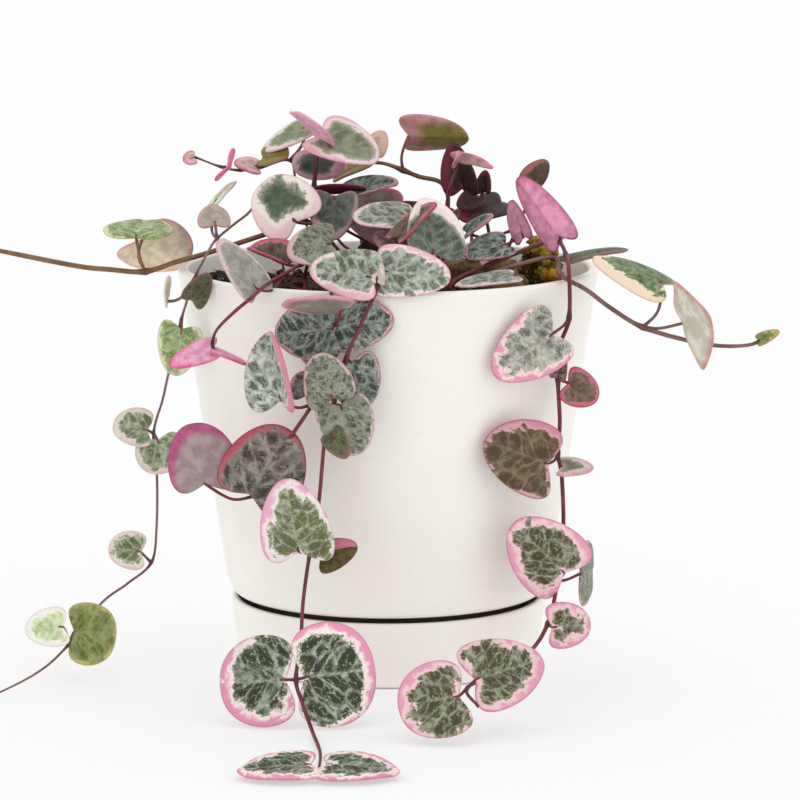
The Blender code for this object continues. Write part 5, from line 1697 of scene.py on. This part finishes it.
def make_tube(name, samples, radii, joints):
    """A closed tube along a route, with its joints marked."""
    clear_selection()
    curve = bpy.data.curves.new(name, "CURVE")
    curve.dimensions = "3D"
    curve.bevel_depth = MM
    curve.bevel_resolution = TUBE_SIDES_LEVEL
    curve.use_fill_caps = True
    spline = curve.splines.new("POLY")
    spline.points.add(len(samples) - 1)
    for point, place, radius in zip(spline.points, samples, radii):
        point.co = (*millimetres(place), 1.0)
        point.radius = radius
    make_active(added(name, curve))
    bpy.ops.object.convert(target="MESH")
    piece = bpy.context.view_layer.objects.active
    bpy.ops.object.mode_set(mode="EDIT")
    bpy.ops.mesh.select_all(action="SELECT")
    bpy.ops.mesh.remove_doubles(threshold=1e-7)
    bpy.ops.mesh.normals_make_consistent(inside=False)
    bpy.ops.object.mode_set(mode="OBJECT")
    bpy.ops.object.shade_smooth()
    places = np.empty(len(piece.data.vertices) * 3)
    piece.data.vertices.foreach_get("co", places)
    places = places.reshape(-1, 1, 3) / MM
    marks = np.array([list(joint) for joint in joints]).reshape(1, -1, 3)
    nearest = np.sqrt(((places - marks) ** 2).sum(2)).min(1)
    knot = np.clip(KNOT_STRENGTH - nearest / KNOT_LENGTH, 0, 1)
    add_attribute(piece.data, "knot", "FLOAT", knot)
    return piece


def leaf_joint(string, leaf):
    """The place on a stem that a leaf's stalk grows from."""
    if leaf.node >= 0:
        return Vector(string.route[leaf.node])
    return Vector((*string.root, ROOT_HEIGHTS[-1]))


def make_stem(string):
    """The stem, swollen where its leaves grow and tapered to its end."""
    points = [(*string.root, height) for height in ROOT_HEIGHTS] + string.route
    samples = smooth_route(points, STEM_SAMPLE)
    joints = [leaf_joint(string, leaf) for leaf in string.leaves]
    radii = []
    for index, place in enumerate(samples):
        near = min((place - joint).length for joint in joints)
        share = index / (len(samples) - 1)
        taper = 1.0 - END_TAPER * max(0.0, share - TAPER_START) / TAPER_LENGTH
        swell = 1 + NODE_SWELL * math.exp(-((near / NODE_LENGTH) ** 2))
        radii.append(string.radius * taper * swell)
    return make_tube("stem", samples, radii, joints)


def make_petiole(string, leaf):
    """The short stalk from a stem to a leaf's notch, which runs a little into the leaf."""
    blade = Blade(leaf)
    start = leaf_joint(string, leaf)
    notch = blade.spine(0.0)
    inside = blade.spine(PETIOLE_SINK / blade.length)
    reach = (notch - start).length
    places = [start, notch, inside]
    if reach >= LONG_PETIOLE:
        sag = Vector((0, 0, reach * PETIOLE_SAG))
        places.insert(1, (start + notch) / 2 - blade.along * reach * PETIOLE_BEND - sag)
    samples = smooth_route(places, PETIOLE_SAMPLE)
    last = len(samples) - 1
    radii = []
    for index in range(last + 1):
        share = index / last
        flare = STEM_END_SWELL * math.exp(-((share / STEM_END_LENGTH) ** 2))
        flare += LEAF_END_SWELL * math.exp(-(((1 - share) / LEAF_END_LENGTH) ** 2))
        radii.append(PETIOLE_RADIUS * (1 + flare) * (PETIOLE_TIP if index == last else 1.0))
    return make_tube("petiole", samples, radii, [start])


class HEARTS_OT_strings(bpy.types.Operator):
    """Grow every stem with its stalks and variegated leaves"""

    bl_idname = "hearts.strings"
    bl_label = "Stems and leaves"

    def execute(self, context):
        settings = context.scene.heart_plant
        leaf_looks = {
            name: leaf_material(name + " leaf", look, settings.tint)
            for name, look in LEAF_LOOKS.items()}
        stem_looks = {
            name: stem_material(name + " stem", colours)
            for name, colours in STEM_COLOURS.items()}
        template = leaf_template()
        seed = 0
        for name, string in STRINGS.items():
            skin = stem_looks[STEM_LOOKS.get(name, "maroon")]
            stem = make_stem(string)
            stem.data.materials.append(skin)
            parts = [stem]
            for leaf in string.leaves:
                seed += 1
                blade = make_leaf(template, leaf, seed, settings)
                blade.data.materials.append(leaf_looks[leaf.look])
                stalk = make_petiole(string, leaf)
                stalk.data.materials.append(skin)
                parts += [blade, stalk]
            piece = joined(parts, "vine_" + name)
            finish_piece(piece, "string_" + name)
        discard([template])
        return {"FINISHED"}


# Floor, light and camera


class SoftLight(NamedTuple):
    """A large square light: its place and size, its share of the key strength, its colour."""

    place: tuple
    size: float
    share: float
    colour: tuple


LIGHTS = {
    "key": SoftLight((-0.6, -2.2, 0.34), 2.0, 0.4, (1.0, 0.99, 0.98)),
    "fill": SoftLight((1.4, -1.7, 0.3), 1.6, 0.27, (0.99, 0.99, 1.0)),
}


def add_light(name, soft, strength):
    """A large soft area light that points at the plant."""
    light = bpy.data.lights.new(name, "AREA")
    light.shape = "SQUARE"
    light.size = soft.size
    light.energy = strength * soft.share
    light.color = soft.colour
    lamp = added(name, light)
    lamp.location = soft.place
    way = Vector(LIGHT_AIM) - Vector(soft.place)
    lamp.rotation_euler = way.to_track_quat("-Z", "Y").to_euler()


def lay_floor(settings):
    """The pale floor, which gives off a little light so that shadows on it stay soft."""
    clear_selection()
    bpy.ops.mesh.primitive_plane_add(size=FLOOR_SIZE, location=(0, 0, 0))
    floor = settle(bpy.context.view_layer.objects.active, "floor")
    tone = tuple(settings.floor)
    shade = (*(part * FLOOR_SHADE for part in tone[:3]), 1.0)
    paper = surface_material(
        "studio floor", tone, shade, shade, rough=(0.85, 0.95), scales=(3.0, 120.0, 60.0),
        flecks=0.2, relief=0.0001, specular=0.1)
    shader = paper.node_tree.nodes["Principled BSDF"]
    shader.inputs["Emission Color"].default_value = WHITE
    shader.inputs["Emission Strength"].default_value = settings.glow
    floor.data.materials.append(paper)


def place_camera(lens):
    """The camera at the photograph's viewing angle."""
    camera = bpy.data.cameras.new("camera")
    camera.lens = lens
    camera.sensor_width = CAMERA_SENSOR
    camera.clip_start, camera.clip_end = CAMERA_RANGE
    shot = added("camera", camera)
    shot.location = CAMERA_PLACE
    shot.rotation_euler = (math.radians(CAMERA_TILT), 0.0, 0.0)
    bpy.context.scene.camera = shot


class HEARTS_OT_stage(bpy.types.Operator):
    """Lay the pale floor, set the soft lights and place the camera"""

    bl_idname = "hearts.stage"
    bl_label = "Floor, light and camera"

    def execute(self, context):
        settings = context.scene.heart_stage
        lay_floor(settings)
        world = bpy.data.worlds.new("studio")
        world.use_nodes = True
        back = world.node_tree.nodes["Background"]
        back.inputs["Color"].default_value = WHITE
        back.inputs["Strength"].default_value = settings.sky
        context.scene.world = world
        for name, soft in LIGHTS.items():
            add_light(name, soft, settings.key)
        context.scene.view_settings.view_transform = "Standard"
        place_camera(settings.lens)
        return {"FINISHED"}


# Operators in order, panel and registration


OPERATORS = (
    HEARTS_OT_stage, HEARTS_OT_pot, HEARTS_OT_saucer, HEARTS_OT_soil, HEARTS_OT_tubers,
    HEARTS_OT_moss, HEARTS_OT_strings,
)


class HEARTS_PT_panel(bpy.types.Panel):
    """The sidebar's list of pieces and settings"""

    bl_idname = "HEARTS_PT_panel"
    bl_label = "String of hearts"
    bl_space_type = "VIEW_3D"
    bl_region_type = "UI"
    bl_category = "String of hearts"

    def draw(self, context):
        for operator in OPERATORS:
            self.layout.operator(operator.bl_idname)
        for key, group in SETTINGS.items():
            box = self.layout.box()
            for setting in group.__annotations__:
                box.prop(getattr(context.scene, key), setting)


CLASSES = (*SETTINGS.values(), *OPERATORS, HEARTS_PT_panel)


def register():
    """Add the settings, the operators and the panel."""
    for group in CLASSES:
        bpy.utils.register_class(group)
    for key, group in SETTINGS.items():
        setattr(bpy.types.Scene, key, bpy.props.PointerProperty(type=group))


def unregister():
    """Take them out again."""
    for key in SETTINGS:
        delattr(bpy.types.Scene, key)
    for group in reversed(CLASSES):
        bpy.utils.unregister_class(group)


def main():
    """Build everything."""
    register()
    surface_group()
    leaf_group()
    for operator in OPERATORS:
        area, name = operator.bl_idname.split(".")
        getattr(getattr(bpy.ops, area), name)()


if __name__ == "__main__":
    main()
